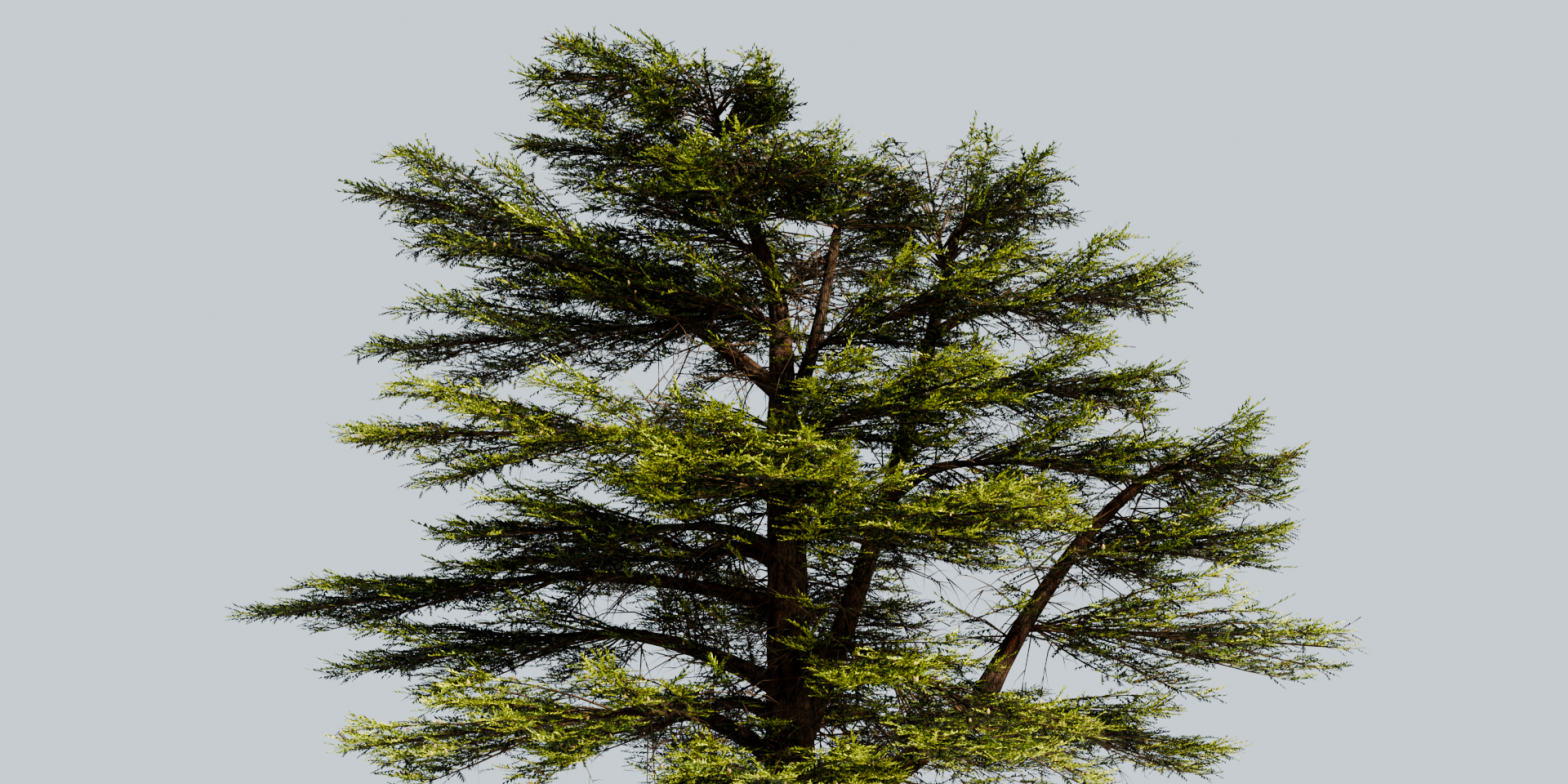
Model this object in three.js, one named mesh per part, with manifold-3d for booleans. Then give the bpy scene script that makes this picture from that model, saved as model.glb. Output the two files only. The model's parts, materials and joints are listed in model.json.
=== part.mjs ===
// Old cedar tree with level tiers of needles, in millimetres
// X runs to the right, Y away from the viewer and Z up from the flat cut at ground level

import * as THREE from "three";
import { mergeVertices } from "three/addons/utils/BufferGeometryUtils.js";
import Module from "manifold-3d";

const wasm = await Module();
wasm.setup();

// Trunk: a straight bole with a root flare, a fork and a leader that leans to the left
const TRUNK_HEIGHT = 20200;
const BOLE_RADIUS = 600;
const BOLE_TAPER = 0.0155;
const LEADER_RADIUS = 310;
const LEADER_TIP_RADIUS = 35;
const FORK_START = 11000;
const FORK_END = 12600;
const FLARE_RADIUS = 450;
const FLARE_HEIGHT = 1500;
const ROOT_LOBES = 5;
const LOBE_DEPTH = 0.16;
const BOW_OF_BOLE = 1.3e-6;
const LEAN_START = 14000;
const LEAN = 0.27;
const LEAN_EASE = 1500;
const TRUNK_SIDES = 15;
const TRUNK_RINGS = 14;
const RING_CROWDING = 1.35;

// Limbs: a collar where each leaves its parent, then an even taper
const COLLAR = 0.35;
const COLLAR_LENGTH = 450;
const LIMB_SIDES = 6;
const STEM_SIDES = 8;
const MOST_RINGS = 8;
const RING_SPACING = 1100;
const STOUT = 240;

// Clearance between neighbouring bodies, and the steps that are smoothed out of a fused mass
const GAP = 0.3;
const SMALLEST_STEP = 1;
const SMALLEST_CUT_STEP = 0.1;

// Stem of a mass: three-sided, with its knee at a share of its reach
const MASS_STEM_RADIUS = 75;
const TRUNK_MASS_STEM_RADIUS = 105;
const MASS_STEM_TIP_RADIUS = 28;
const MASS_STEM_ARCH = 0.1;
const STEM_KNEE = 0.15;
const STEM_RINGS = 2;
const FIRST_TWIG = 250;

// Rule for the twigs, in shares of the half sizes of the space; every fifth one is built
const TWIGS_IN_RULE = 30;
const TWIG_STEP = 5;
const TIERS = [0.1, -0.55, 0.4, -0.25, 0.75, -0.8, 0.55, -0.05, -0.4];
const TIER_DROP = 0.25;
const FIRST_END = -0.62;
const END_RANGE = 1.5;
const END_SHIFT = 0.12;
const LEAST_FULLNESS = 0.84;
const FULLNESS_RANGE = 0.14;
const TWIG_SWEEP = 0.27;
const SWEEP_RANGE = 0.12;
const TWIG_KNEE = 0.55;
const KNEE_CLIMB = 0.85;
const TWIG_ARCH = 0.05;

// A built twig: three-sided and straight from its foot to its spray
const TWIG_RADIUS = 52;
const TWIG_TIP_RADIUS = 26;
const TWIG_RINGS = 1;
const TWIG_TESTS = [0.5, 1];

// Spray of needles: a toothed blade, its root sunk in the twig
const BLADE_LENGTH = 2500;
const BLADE_SHARE = 0.4;
const BLADE_WIDTH = 0.7;
const BLADE_THICKNESS = 0.17;
const BLADE_SINK = 0.25;
const LEADING_BLADE_SINK = 0.9;
const BLADE_TILT = 14;

// Every second built twig also bears a spray along its length, turned towards the stem
const INNER_BLADE_STEP = 2;
const INNER_BLADE_PLACE = 0.55;
const INNER_BLADE_TURN = -55;

// Half outline of a blade: share of its length and of its width, from root to tip
const BLADE_OUTLINE = [[0, 0], [0.52, 0.5], [0.56, 0.24], [1, 0]];
const BLADE_MIDDLE = 0.36;

// Limits of the space of a mass against its own edge and its neighbours
const SPACE_EDGE = 1.1;
const OWN_SPACE_MARGIN = 0.985;

// Each limb: parent, height where it leaves, heading, run, climb, arch, root and tip radius
// Heading 0 is to the right, 90 away from the viewer and 180 to the left
const LIMBS = {
  right_leader: ["trunk", 11700, 5, 1350, 4700, -900, 220, 120],
  co_stem: ["trunk", 3400, 18, 4500, 13200, -1100, 340, 130],
  right_limb_low: ["trunk", 1900, 356, 4700, 3000, -400, 340, 255],
  right_limb: ["right_limb_low", 4780, 2, 4500, 5500, 700, 235, 120],
  upper_left_limb: ["trunk", 12200, 180, 5000, 3800, 100, 215, 115],
  right_high_limb: ["co_stem", 14000, 355, 1700, 700, 150, 130, 90],
  right_mid_limb: ["co_stem", 12000, 352, 1400, 500, 150, 145, 95],
  right_inner_limb: ["co_stem", 9600, 345, 1800, 900, 200, 165, 100],
  left_front_limb: ["trunk", 10000, 204, 3200, 900, 250, 190, 115],
  left_lower_limb: ["trunk", 8100, 196, 2200, 700, 200, 165, 100],
  long_left_limb: ["trunk", 6900, 180, 5200, 800, 200, 190, 120],
  low_left_limb: ["trunk", 4900, 178, 3800, 1400, 200, 240, 135],
  front_left_limb: ["trunk", 3000, 226, 4400, 1300, 400, 240, 135],
  front_limb: ["trunk", 8700, 256, 1800, 600, 200, 160, 100],
  cascade_limb: ["trunk", 4700, 303, 1900, 1200, 250, 190, 115],
  back_low_right_limb: ["trunk", 3700, 52, 3400, 800, 400, 225, 130],
  back_low_left_limb: ["trunk", 3900, 128, 3000, 800, 400, 210, 130],
  back_mid_limb: ["trunk", 6400, 88, 3400, 900, 400, 210, 130],
  back_left_limb: ["trunk", 7800, 145, 2600, 700, 300, 175, 110],
};

// Each mass: parent, height of its stem or TIP, heading, run, climb, width and depth of its space
const TIP = null;
const MASSES = {
  top_left: ["trunk", TIP, 186, 4800, 100, 4400, 2300],
  top_right: ["trunk", 19300, 8, 1600, 300, 4000, 2200],
  top_left_low: ["trunk", 18100, 176, 5600, 800, 4400, 2300],
  top_front: ["trunk", 18900, 266, 4200, 300, 4000, 2200],
  top_back: ["trunk", 18300, 84, 4800, 1000, 5000, 3000],
  upper_left: ["upper_left_limb", TIP, 178, 5800, 1600, 5600, 3200],
  upper_left_under: ["trunk", 14000, 198, 8600, 1400, 4400, 2500],
  left_mid: ["upper_left_limb", 14000, 181, 8200, -800, 5400, 3000],
  inner_upper: ["trunk", 15800, 214, 4700, 1000, 4800, 3000],
  front_upper: ["trunk", 16600, 277, 5200, 300, 4800, 2800],
  mid_top: ["right_leader", TIP, 300, 1400, 1600, 5000, 4000],
  leader_side: ["right_leader", 13400, 338, 6000, 1500, 4400, 2800],
  co_top: ["co_stem", TIP, 345, 3000, 1600, 5400, 4400],
  co_left: ["co_stem", 15600, 105, 1400, 4000, 5000, 4200],
  right_high: ["right_high_limb", TIP, 358, 5000, 700, 5000, 3200],
  right_mid: ["right_mid_limb", TIP, 356, 5400, -100, 5200, 2600],
  front_right_mid: ["trunk", 11000, 313, 6800, 600, 4600, 2800],
  right_inner: ["right_inner_limb", TIP, 350, 5800, -100, 5000, 3000],
  right_far: ["right_limb", TIP, 2, 3200, -100, 5400, 3400],
  right_droop: ["right_limb", 6400, 350, 7400, -600, 6000, 3600],
  right_side: ["right_limb", 8200, 8, 5200, 400, 5000, 2800],
  right_hang: ["right_limb_low", 4600, 24, 6600, -1200, 5200, 2600],
  left_front: ["left_front_limb", TIP, 188, 7600, -200, 5700, 3400],
  left_front_inner: ["trunk", 9600, 235, 5600, 600, 4500, 2800],
  left_lower: ["left_lower_limb", TIP, 194, 6400, -400, 5000, 2800],
  long_left: ["long_left_limb", TIP, 180, 8000, -1000, 4200, 1500],
  low_left: ["low_left_limb", TIP, 176, 7400, -800, 5400, 2800],
  front_left: ["front_left_limb", TIP, 208, 6800, -1000, 6400, 3400],
  front_high: ["front_limb", TIP, 262, 5600, -200, 5400, 2400],
  front_sweep: ["trunk", 8600, 314, 8200, -200, 5200, 2600],
  front_cascade: ["cascade_limb", TIP, 316, 7000, -3300, 5600, 3000],
  front_low: ["trunk", 2500, 266, 7200, 200, 5600, 2400],
  back_low_right: ["back_low_right_limb", TIP, 50, 6400, -1000, 6400, 2800],
  back_low_left: ["back_low_left_limb", TIP, 132, 6600, -600, 6400, 3400],
  back_mid: ["back_mid_limb", TIP, 88, 6800, 700, 6800, 3400],
  back_left: ["back_left_limb", TIP, 145, 6600, 300, 6000, 3200],
  back_high_right: ["co_stem", 8800, 50, 6800, 1300, 6000, 3400],
  back_high: ["trunk", 11300, 104, 7800, 1000, 6200, 3200],
  back_upper: ["trunk", 14800, 70, 6000, 3000, 5800, 3400],
  back_upper_left: ["trunk", 14000, 140, 7000, 2200, 5400, 2800],
};

// Finishes, from the sunlit and shaded parts of the tree
const BARK = { color: 0x5a4434, roughness: 0.92, metalness: 0 };
const NEEDLES = [0x6f8a2e, 0x48652a, 0x34501f, 0x86983a];
const NEEDLE_ROUGHNESS = 0.7;

// Seeds of the masses, and the numbers of their seeded draws
const FIRST_SEED = 101;
const SEED_STEP = 7;
const DRAW_FACTOR = 1664525;
const DRAW_SHIFT = 1013904223;
const DRAW_RANGE = 2 ** 32;

// Distance at which corners are one, and the halvings that find a height on a limb
const SAME_CORNER = 1e-4;
const HEIGHT_HALVINGS = 30;

const UP = new THREE.Vector3(0, 0, 1);

function vector(x, y, z) {
  return new THREE.Vector3(x, y, z);
}

// A run and climb along a heading
function stretch(heading, run, climb) {
  const angle = THREE.MathUtils.degToRad(heading);
  return vector(Math.cos(angle) * run, Math.sin(angle) * run, climb);
}

// The level direction across a chord
function across(chord) {
  return vector(-chord.y, chord.x, 0).normalize();
}

function smoothRise(value, from, to) {
  const share = THREE.MathUtils.clamp((value - from) / (to - from), 0, 1);
  return share * share * (3 - 2 * share);
}

// A tapering limb on a bow in its own upright plane
class Limb {
  constructor(start, chord, arch, rootRadius, tipRadius) {
    this.start = start;
    this.chord = chord;
    this.arch = arch;
    this.rootRadius = rootRadius;
    this.tipRadius = tipRadius;
    this.side = across(chord);
    this.length = chord.length();
  }

  point(share) {
    const lift = this.arch * 4 * share * (1 - share);
    return this.start.clone().addScaledVector(this.chord, share).addScaledVector(UP, lift);
  }

  tangent(share) {
    const slope = this.arch * 4 * (1 - 2 * share);
    return this.chord.clone().addScaledVector(UP, slope).normalize();
  }

  radius(share) {
    const collar = COLLAR * this.rootRadius * Math.exp((-share * this.length) / COLLAR_LENGTH);
    return THREE.MathUtils.lerp(this.rootRadius, this.tipRadius, share) + collar;
  }

  // The share of the length at which the limb reaches a height
  shareAt(height) {
    let low = 0;
    let high = 1;
    for (let step = 0; step < HEIGHT_HALVINGS; step += 1) {
      const middle = (low + high) / 2;
      if (this.point(middle).z < height) {
        low = middle;
      } else {
        high = middle;
      }
    }
    return low;
  }
}

// The trunk follows its own lean and its own taper
class Trunk extends Limb {
  constructor() {
    super(vector(0, 0, 0), vector(0, 0, TRUNK_HEIGHT), 0, BOLE_RADIUS, LEADER_TIP_RADIUS);
    this.side = vector(0, 1, 0);
  }

  point(share) {
    const height = share * TRUNK_HEIGHT;
    const above = Math.max(height - LEAN_START, 0);
    const lean = LEAN * above * (1 - Math.exp(-above / LEAN_EASE));
    return vector(-BOW_OF_BOLE * height * height - lean, 0, height);
  }

  tangent(share) {
    const step = 1e-4;
    if (share < step) {
      return UP.clone();
    }
    return this.point(share).sub(this.point(share - step)).normalize();
  }

  radius(share) {
    const height = share * TRUNK_HEIGHT;
    const flare = FLARE_RADIUS * Math.exp(-height / FLARE_HEIGHT);
    const bole = BOLE_RADIUS - BOLE_TAPER * height;
    const leaderShare = (height - FORK_END) / (TRUNK_HEIGHT - FORK_END);
    const leader = THREE.MathUtils.lerp(LEADER_RADIUS, LEADER_TIP_RADIUS, Math.max(leaderShare, 0));
    return flare + THREE.MathUtils.lerp(bole, leader, smoothRise(height, FORK_START, FORK_END));
  }

  // Root lobes swell the flare and fade with height
  lobe(share, angle) {
    const fade = Math.exp((-share * TRUNK_HEIGHT) / FLARE_HEIGHT);
    return 1 + LOBE_DEPTH * fade * Math.cos(ROOT_LOBES * angle);
  }
}

// Only positions, with shared corners merged
function bare(geometry) {
  geometry.deleteAttribute("normal");
  geometry.deleteAttribute("uv");
  return mergeVertices(geometry, SAME_CORNER);
}

// A cylinder bent and tapered onto a limb, grown outwards where it serves as a cutter
function bentCylinder(limb, sides, rings, grow = 0, crowding = 1) {
  const geometry = bare(new THREE.CylinderGeometry(1, 1, 1, sides, rings));
  const position = geometry.getAttribute("position");
  const faceGrow = grow / Math.cos(Math.PI / sides);
  for (let i = 0; i < position.count; i += 1) {
    const share = (position.getY(i) + 0.5) ** crowding;
    const tangent = limb.tangent(share);
    const other = limb.side.clone().cross(tangent).normalize();
    const sideways = tangent.clone().cross(other);
    const centre = limb.point(share).addScaledVector(tangent, grow * (2 * share - 1));
    const x = position.getX(i);
    const z = position.getZ(i);
    const lobe = limb.lobe ? limb.lobe(share, Math.atan2(z, x)) : 1;
    const radius = limb.radius(share) * lobe + faceGrow;
    centre.addScaledVector(sideways, x * radius).addScaledVector(other, z * radius);
    position.setXYZ(i, centre.x, centre.y, centre.z);
  }
  return geometry;
}

// A spray of needles as a toothed blade: a six-sided double pyramid drawn out to its outline
function blade(root, ahead, normal, length) {
  const geometry = bare(new THREE.SphereGeometry(1, 6, 2));
  const position = geometry.getAttribute("position");
  const sideways = normal.clone().cross(ahead).normalize();
  const upright = ahead.clone().cross(sideways);
  for (let i = 0; i < position.count; i += 1) {
    const height = position.getY(i);
    const turn = Math.atan2(position.getZ(i), position.getX(i));
    const corner = Math.round((Math.PI - Math.abs(turn)) / (Math.PI / 3));
    const inRing = Math.abs(height) < 0.5;
    const [along, out] = inRing ? BLADE_OUTLINE[corner] : [BLADE_MIDDLE, 0];
    const place = root.clone().addScaledVector(ahead, along * length);
    place.addScaledVector(sideways, -Math.sign(turn) * out * length * BLADE_WIDTH);
    place.addScaledVector(upright, inRing ? 0 : (height * length * BLADE_THICKNESS) / 2);
    position.setXYZ(i, place.x, place.y, place.z);
  }
  return geometry;
}

function toSolid(geometry) {
  const mesh = new wasm.Mesh({
    numProp: 3,
    vertProperties: new Float32Array(geometry.getAttribute("position").array),
    triVerts: new Uint32Array(geometry.index.array),
  });
  return new wasm.Manifold(mesh);
}

function toGeometry(solid) {
  const mesh = solid.getMesh();
  const geometry = new THREE.BufferGeometry();
  geometry.setAttribute("position", new THREE.BufferAttribute(mesh.vertProperties, 3));
  geometry.setIndex(new THREE.BufferAttribute(mesh.triVerts, 1));
  return geometry;
}

// The largest outer body: loose scraps go, and sealed hollows are filled
function mainBody(solid) {
  let best = solid;
  let most = 0;
  for (const piece of solid.decompose()) {
    if (piece.volume() > most) {
      best = piece;
      most = piece.volume();
    }
  }
  return best;
}

function boxesMeet(one, other) {
  const a = one.boundingBox();
  const b = other.boundingBox();
  return [0, 1, 2].every((axis) => a.min[axis] < b.max[axis] && b.min[axis] < a.max[axis]);
}

function touches(solid, others) {
  return others.some((other) => boxesMeet(solid, other) && !solid.intersect(other).isEmpty());
}

// A tapering twig from its foot past its knee to its end, straight between its rings
class Twig {
  constructor(foot, knee, end, rings, rootRadius, tipRadius) {
    this.curve = new THREE.QuadraticBezierCurve3(foot, knee, end);
    this.rings = rings;
    this.side = across(end.clone().sub(foot));
    this.rootRadius = rootRadius;
    this.tipRadius = tipRadius;
  }

  point(share) {
    const ring = Math.min(Math.floor(share * this.rings), this.rings - 1);
    const from = this.curve.getPoint(ring / this.rings);
    return from.lerp(this.curve.getPoint((ring + 1) / this.rings), share * this.rings - ring);
  }

  tangent(share) {
    return this.curve.getTangent(share);
  }

  radius(share) {
    return THREE.MathUtils.lerp(this.rootRadius, this.tipRadius, share);
  }
}

// The egg-shaped space of one mass, with its stem and the rule for its twigs
class Mass {
  constructor(parent, height, heading, run, climb, width, depth, seed) {
    const axis = stretch(heading, run, climb);
    const reach = axis.length();
    const onTip = height === TIP;
    const share = onTip ? 1 : parent.shareAt(height);
    const clear = onTip ? 0 : parent.radius(share);
    const axisPoint = parent.point(share);
    this.seed = seed;
    this.along = axis.clone().normalize();
    this.side = across(axis);
    this.up = this.along.clone().cross(this.side);
    this.half = [reach / 2, width / 2, depth / 2];
    this.centre = axisPoint.clone().addScaledVector(this.along, clear + reach / 2);
    this.firstShare = (clear + FIRST_TWIG) / reach;
    const leave = this.along.clone().addScaledVector(UP, MASS_STEM_ARCH).normalize();
    if (onTip) {
      leave.copy(parent.tangent(1));
      axisPoint.addScaledVector(leave, GAP);
    }
    const knee = axisPoint.clone().addScaledVector(leave, STEM_KNEE * reach);
    const radius = onTip ? MASS_STEM_RADIUS : TRUNK_MASS_STEM_RADIUS;
    const tip = this.place(1, 0, 0);
    this.stem = new Twig(axisPoint, knee, tip, STEM_RINGS, radius, MASS_STEM_TIP_RADIUS);
  }

  // A seeded draw between 0 and 1
  draw() {
    this.seed = (this.seed * DRAW_FACTOR + DRAW_SHIFT) % DRAW_RANGE;
    return this.seed / DRAW_RANGE;
  }

  // A point from shares of the half sizes along, across and up
  place(along, side, up) {
    const point = this.centre.clone().addScaledVector(this.along, along * this.half[0]);
    point.addScaledVector(this.side, side * this.half[1]);
    return point.addScaledVector(this.up, up * this.half[2]);
  }

  // 0 at the middle of the space and 1 on its edge
  depth(point) {
    const offset = point.clone().sub(this.centre);
    const shares = [this.along, this.side, this.up].map((axis, i) => offset.dot(axis) / this.half[i]);
    return Math.hypot(...shares);
  }

  // One twig of the rule: it leaves the stem, climbs to its tier and levels out at the edge
  twig(index) {
    const [shift, drop, fullness, back] = [this.draw(), this.draw(), this.draw(), this.draw()];
    const along = FIRST_END + (END_RANGE * (index + 1)) / TWIGS_IN_RULE + (shift - 0.5) * END_SHIFT;
    const room = Math.sqrt(1 - along * along);
    const up = TIERS[index % TIERS.length] * (1 - TIER_DROP * drop) * room;
    const hand = index % 2 === 0 ? 1 : -1;
    const side = hand * Math.sqrt(room * room - up * up) * (LEAST_FULLNESS + FULLNESS_RANGE * fullness);
    const sweep = TWIG_SWEEP + SWEEP_RANGE * back;
    const start = this.stem.point(Math.max((along + 1) / 2 - sweep, this.firstShare));
    const end = this.place(along, side, up);
    const middle = start.clone().lerp(end, TWIG_KNEE);
    middle.z = THREE.MathUtils.lerp(start.z, end.z, KNEE_CLIMB) + TWIG_ARCH * start.distanceTo(end);
    return { start, middle, end, hand };
  }
}

const tree = new THREE.Group();

function addNode(name, solid, finish) {
  const mesh = new THREE.Mesh(toGeometry(solid), new THREE.MeshStandardMaterial(finish));
  mesh.name = name;
  tree.add(mesh);
}

// Trunk and limbs, each limb cut back to clear its parent
const limbs = { trunk: new Trunk() };
const cutters = { trunk: toSolid(bentCylinder(limbs.trunk, TRUNK_SIDES, TRUNK_RINGS, GAP, RING_CROWDING)) };
addNode("trunk", toSolid(bentCylinder(limbs.trunk, TRUNK_SIDES, TRUNK_RINGS, 0, RING_CROWDING)), BARK);

for (const [name, row] of Object.entries(LIMBS)) {
  const [parentName, height, heading, run, climb, arch, rootRadius, tipRadius] = row;
  const parent = limbs[parentName];
  const start = parent.point(parent.shareAt(height));
  const limb = new Limb(start, stretch(heading, run, climb), arch, rootRadius, tipRadius);
  const sides = rootRadius > STOUT ? STEM_SIDES : LIMB_SIDES;
  const rings = Math.min(Math.ceil(limb.length / RING_SPACING), MOST_RINGS);
  limbs[name] = limb;
  let solid = toSolid(bentCylinder(limb, sides, rings));
  for (const earlier of Object.values(cutters)) {
    if (boxesMeet(solid, earlier)) {
      solid = solid.subtract(earlier);
    }
  }
  cutters[name] = toSolid(bentCylinder(limb, sides, rings, GAP));
  addNode(name, mainBody(solid), BARK);
}

// The masses, each with its own seed
const masses = Object.entries(MASSES).map(([name, [parentName, ...sizes]], index) => {
  const mass = new Mass(limbs[parentName], ...sizes, FIRST_SEED + SEED_STEP * index);
  mass.name = name;
  mass.parentName = parentName;
  return mass;
});

// True where every point is inside the mass's own space and deeper in it than in any other
function keepsToSpace(mass, points) {
  return points.every((point) => {
    const depth = mass.depth(point);
    const nearest = Math.min(...masses.filter((other) => other !== mass).map((other) => other.depth(point)));
    return depth < SPACE_EDGE && depth < nearest * OWN_SPACE_MARGIN;
  });
}

// The corners of a blade, to test them against the spaces
function bladeCorners(geometry) {
  const position = geometry.getAttribute("position");
  const corners = [];
  for (let i = 0; i < position.count; i += 1) {
    corners.push(new THREE.Vector3().fromBufferAttribute(position, i));
  }
  return corners;
}

const finished = [];
const limbCutters = Object.values(cutters);

// Each mass: its stem, its twigs and their sprays in one body
masses.forEach((mass, index) => {
  const obstacles = [...limbCutters, ...finished];
  const blades = [];
  const bladeLength = Math.min(BLADE_LENGTH, BLADE_SHARE * mass.half[0] * 2);
  let body = toSolid(bentCylinder(mass.stem, 3, mass.stem.rings)).subtract(cutters[mass.parentName]);

  // A spray beyond a point, with its root sunk back by a share of its length
  function addBlade(point, ahead, sink) {
    const tilt = THREE.MathUtils.degToRad((mass.draw() - 0.5) * 2 * BLADE_TILT);
    const normal = UP.clone().applyAxisAngle(ahead, tilt);
    const root = point.clone().addScaledVector(ahead, -sink * bladeLength);
    const geometry = blade(root, ahead, normal, bladeLength);
    const solid = toSolid(geometry);
    if (keepsToSpace(mass, bladeCorners(geometry)) && !touches(solid, [...obstacles, ...blades])) {
      body = body.add(solid);
      blades.push(solid);
    }
  }

  const plans = Array.from({ length: TWIGS_IN_RULE }, (_, k) => mass.twig(k));
  for (let k = 0; k < TWIGS_IN_RULE; k += TWIG_STEP) {
    const { start, middle, end, hand } = plans[k];
    const ahead = end.clone().sub(middle).normalize();
    const inner = end.clone().addScaledVector(ahead, -bladeLength * (1 - BLADE_SINK));
    const twig = new Twig(start, middle, inner, TWIG_RINGS, TWIG_RADIUS, TWIG_TIP_RADIUS);
    const solid = toSolid(bentCylinder(twig, 3, TWIG_RINGS));
    const inSpace = keepsToSpace(mass, TWIG_TESTS.map((share) => twig.point(share)));
    if (inSpace && !touches(solid, obstacles)) {
      body = body.add(solid);
      addBlade(inner, ahead, BLADE_SINK);
      if (k % (INNER_BLADE_STEP * TWIG_STEP) === 0) {
        const turn = THREE.MathUtils.degToRad(INNER_BLADE_TURN * hand);
        addBlade(twig.point(INNER_BLADE_PLACE), ahead.clone().applyAxisAngle(UP, turn), BLADE_SINK);
      }
    }
  }
  addBlade(mass.stem.point(1), mass.stem.tangent(1), LEADING_BLADE_SINK);
  body = body.simplify(SMALLEST_STEP);
  for (const cutter of limbCutters) {
    if (boxesMeet(body, cutter)) {
      body = body.subtract(cutter);
    }
  }
  body = mainBody(body).simplify(SMALLEST_CUT_STEP);
  finished.push(body);
  const color = NEEDLES[index % NEEDLES.length];
  addNode(`foliage_${mass.name}`, body, { color, roughness: NEEDLE_ROUGHNESS, metalness: 0 });
});

export default tree;
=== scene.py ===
"""Old spreading cedar, in metres: ridged bark on its limbs, and twigs, needles and cones in level tiers."""
import json
import logging
import math
from dataclasses import dataclass, field, fields
from enum import Enum
from functools import partial

import bpy
import numpy as np
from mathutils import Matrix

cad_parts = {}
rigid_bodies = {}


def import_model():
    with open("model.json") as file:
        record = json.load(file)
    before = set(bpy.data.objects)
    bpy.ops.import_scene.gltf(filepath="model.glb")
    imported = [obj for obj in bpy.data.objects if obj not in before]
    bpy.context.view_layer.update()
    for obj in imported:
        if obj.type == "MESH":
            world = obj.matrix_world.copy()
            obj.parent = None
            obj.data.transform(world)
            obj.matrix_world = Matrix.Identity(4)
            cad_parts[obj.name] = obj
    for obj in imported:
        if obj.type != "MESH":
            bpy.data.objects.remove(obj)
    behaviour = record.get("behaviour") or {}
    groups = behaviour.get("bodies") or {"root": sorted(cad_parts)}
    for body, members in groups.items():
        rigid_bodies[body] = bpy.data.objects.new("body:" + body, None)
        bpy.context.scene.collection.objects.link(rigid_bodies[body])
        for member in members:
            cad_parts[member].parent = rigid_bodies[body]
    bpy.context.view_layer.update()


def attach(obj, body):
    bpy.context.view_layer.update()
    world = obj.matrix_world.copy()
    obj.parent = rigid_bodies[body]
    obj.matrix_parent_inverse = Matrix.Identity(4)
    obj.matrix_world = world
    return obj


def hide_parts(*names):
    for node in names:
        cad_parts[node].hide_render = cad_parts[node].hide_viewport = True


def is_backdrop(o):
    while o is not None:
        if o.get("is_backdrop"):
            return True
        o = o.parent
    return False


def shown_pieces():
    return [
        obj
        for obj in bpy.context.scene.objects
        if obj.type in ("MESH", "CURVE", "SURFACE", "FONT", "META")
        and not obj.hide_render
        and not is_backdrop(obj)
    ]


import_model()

log = logging.getLogger("cedar")

Array = np.ndarray
Range = tuple[float, float]
Faces = tuple[Array, Array]
Tubes = list[tuple[Array, Array]]
Random = np.random.Generator
Piece = bpy.types.Object
Material = bpy.types.Material
Node = bpy.types.Node
NodeTree = bpy.types.NodeTree
UP = np.array([0.0, 0.0, 1.0])
BODY = "root"


class Zone(Enum):
    """The part of the crown that a mass of foliage belongs to, which names its joined pieces."""

    TOP = "top"
    LEFT = "left"
    RIGHT = "right"
    FRONT = "front"
    BACK = "back"


class Tint(Enum):
    """The tints of the needles, from the sunlit shoot ends to the old ones inside the crown: lighter tints
    are painted light, darker ones painted shade as well as old needles.
    """

    # SUNLIT and FRESH paint light on the lit sprays, MID and DEEP paint shade, DEEP nearly black; BRONZED is
    # the old needles' own brown.
    SUNLIT = "sunlit"
    FRESH = "fresh"
    MID = "mid"
    DEEP = "deep"
    BRONZED = "bronzed"


@dataclass(frozen=True)
class LimbPlan:
    """Where a limb leaves its parent, its heading in degrees from +X, its run, climb, arch and radii."""

    parent: str
    leaves_at: float
    heading: float
    run: float
    climb: float
    arch: float
    root_radius: float
    tip_radius: float


@dataclass(frozen=True)
class MassPlan:
    """Where the stem of a mass leaves its parent, or None at its tip, and the space that the mass fills."""

    zone: Zone
    parent: str
    leaves_at: float | None
    heading: float
    run: float
    climb: float
    width: float
    depth: float


LIMBS = {
    "right_leader": LimbPlan("trunk", 11.7, 5, 1.35, 4.7, -0.9, 0.22, 0.12),
    "co_stem": LimbPlan("trunk", 3.4, 18, 4.5, 13.2, -1.1, 0.34, 0.13),
    "right_limb_low": LimbPlan("trunk", 1.9, 356, 4.7, 3.0, -0.4, 0.34, 0.255),
    "right_limb": LimbPlan("right_limb_low", 4.78, 2, 4.5, 5.5, 0.7, 0.235, 0.12),
    "upper_left_limb": LimbPlan("trunk", 12.2, 180, 5.0, 3.8, 0.1, 0.215, 0.115),
    "right_high_limb": LimbPlan("co_stem", 14.0, 355, 1.7, 0.7, 0.15, 0.13, 0.09),
    "right_mid_limb": LimbPlan("co_stem", 12.0, 352, 1.4, 0.5, 0.15, 0.145, 0.095),
    "right_inner_limb": LimbPlan("co_stem", 9.6, 345, 1.8, 0.9, 0.2, 0.165, 0.1),
    "left_front_limb": LimbPlan("trunk", 10.0, 204, 3.2, 0.9, 0.25, 0.19, 0.115),
    "left_lower_limb": LimbPlan("trunk", 8.1, 196, 2.2, 0.7, 0.2, 0.165, 0.1),
    "long_left_limb": LimbPlan("trunk", 6.9, 180, 5.2, 0.8, 0.2, 0.19, 0.12),
    "low_left_limb": LimbPlan("trunk", 4.9, 178, 3.8, 1.4, 0.2, 0.24, 0.135),
    "front_left_limb": LimbPlan("trunk", 3.0, 226, 4.4, 1.3, 0.4, 0.24, 0.135),
    "front_limb": LimbPlan("trunk", 8.7, 256, 1.8, 0.6, 0.2, 0.16, 0.1),
    "cascade_limb": LimbPlan("trunk", 4.7, 303, 1.9, 1.2, 0.25, 0.19, 0.115),
    "back_low_right_limb": LimbPlan("trunk", 3.7, 52, 3.4, 0.8, 0.4, 0.225, 0.13),
    "back_low_left_limb": LimbPlan("trunk", 3.9, 128, 3.0, 0.8, 0.4, 0.21, 0.13),
    "back_mid_limb": LimbPlan("trunk", 6.4, 88, 3.4, 0.9, 0.4, 0.21, 0.13),
    "back_left_limb": LimbPlan("trunk", 7.8, 145, 2.6, 0.7, 0.3, 0.175, 0.11),
}

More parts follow.
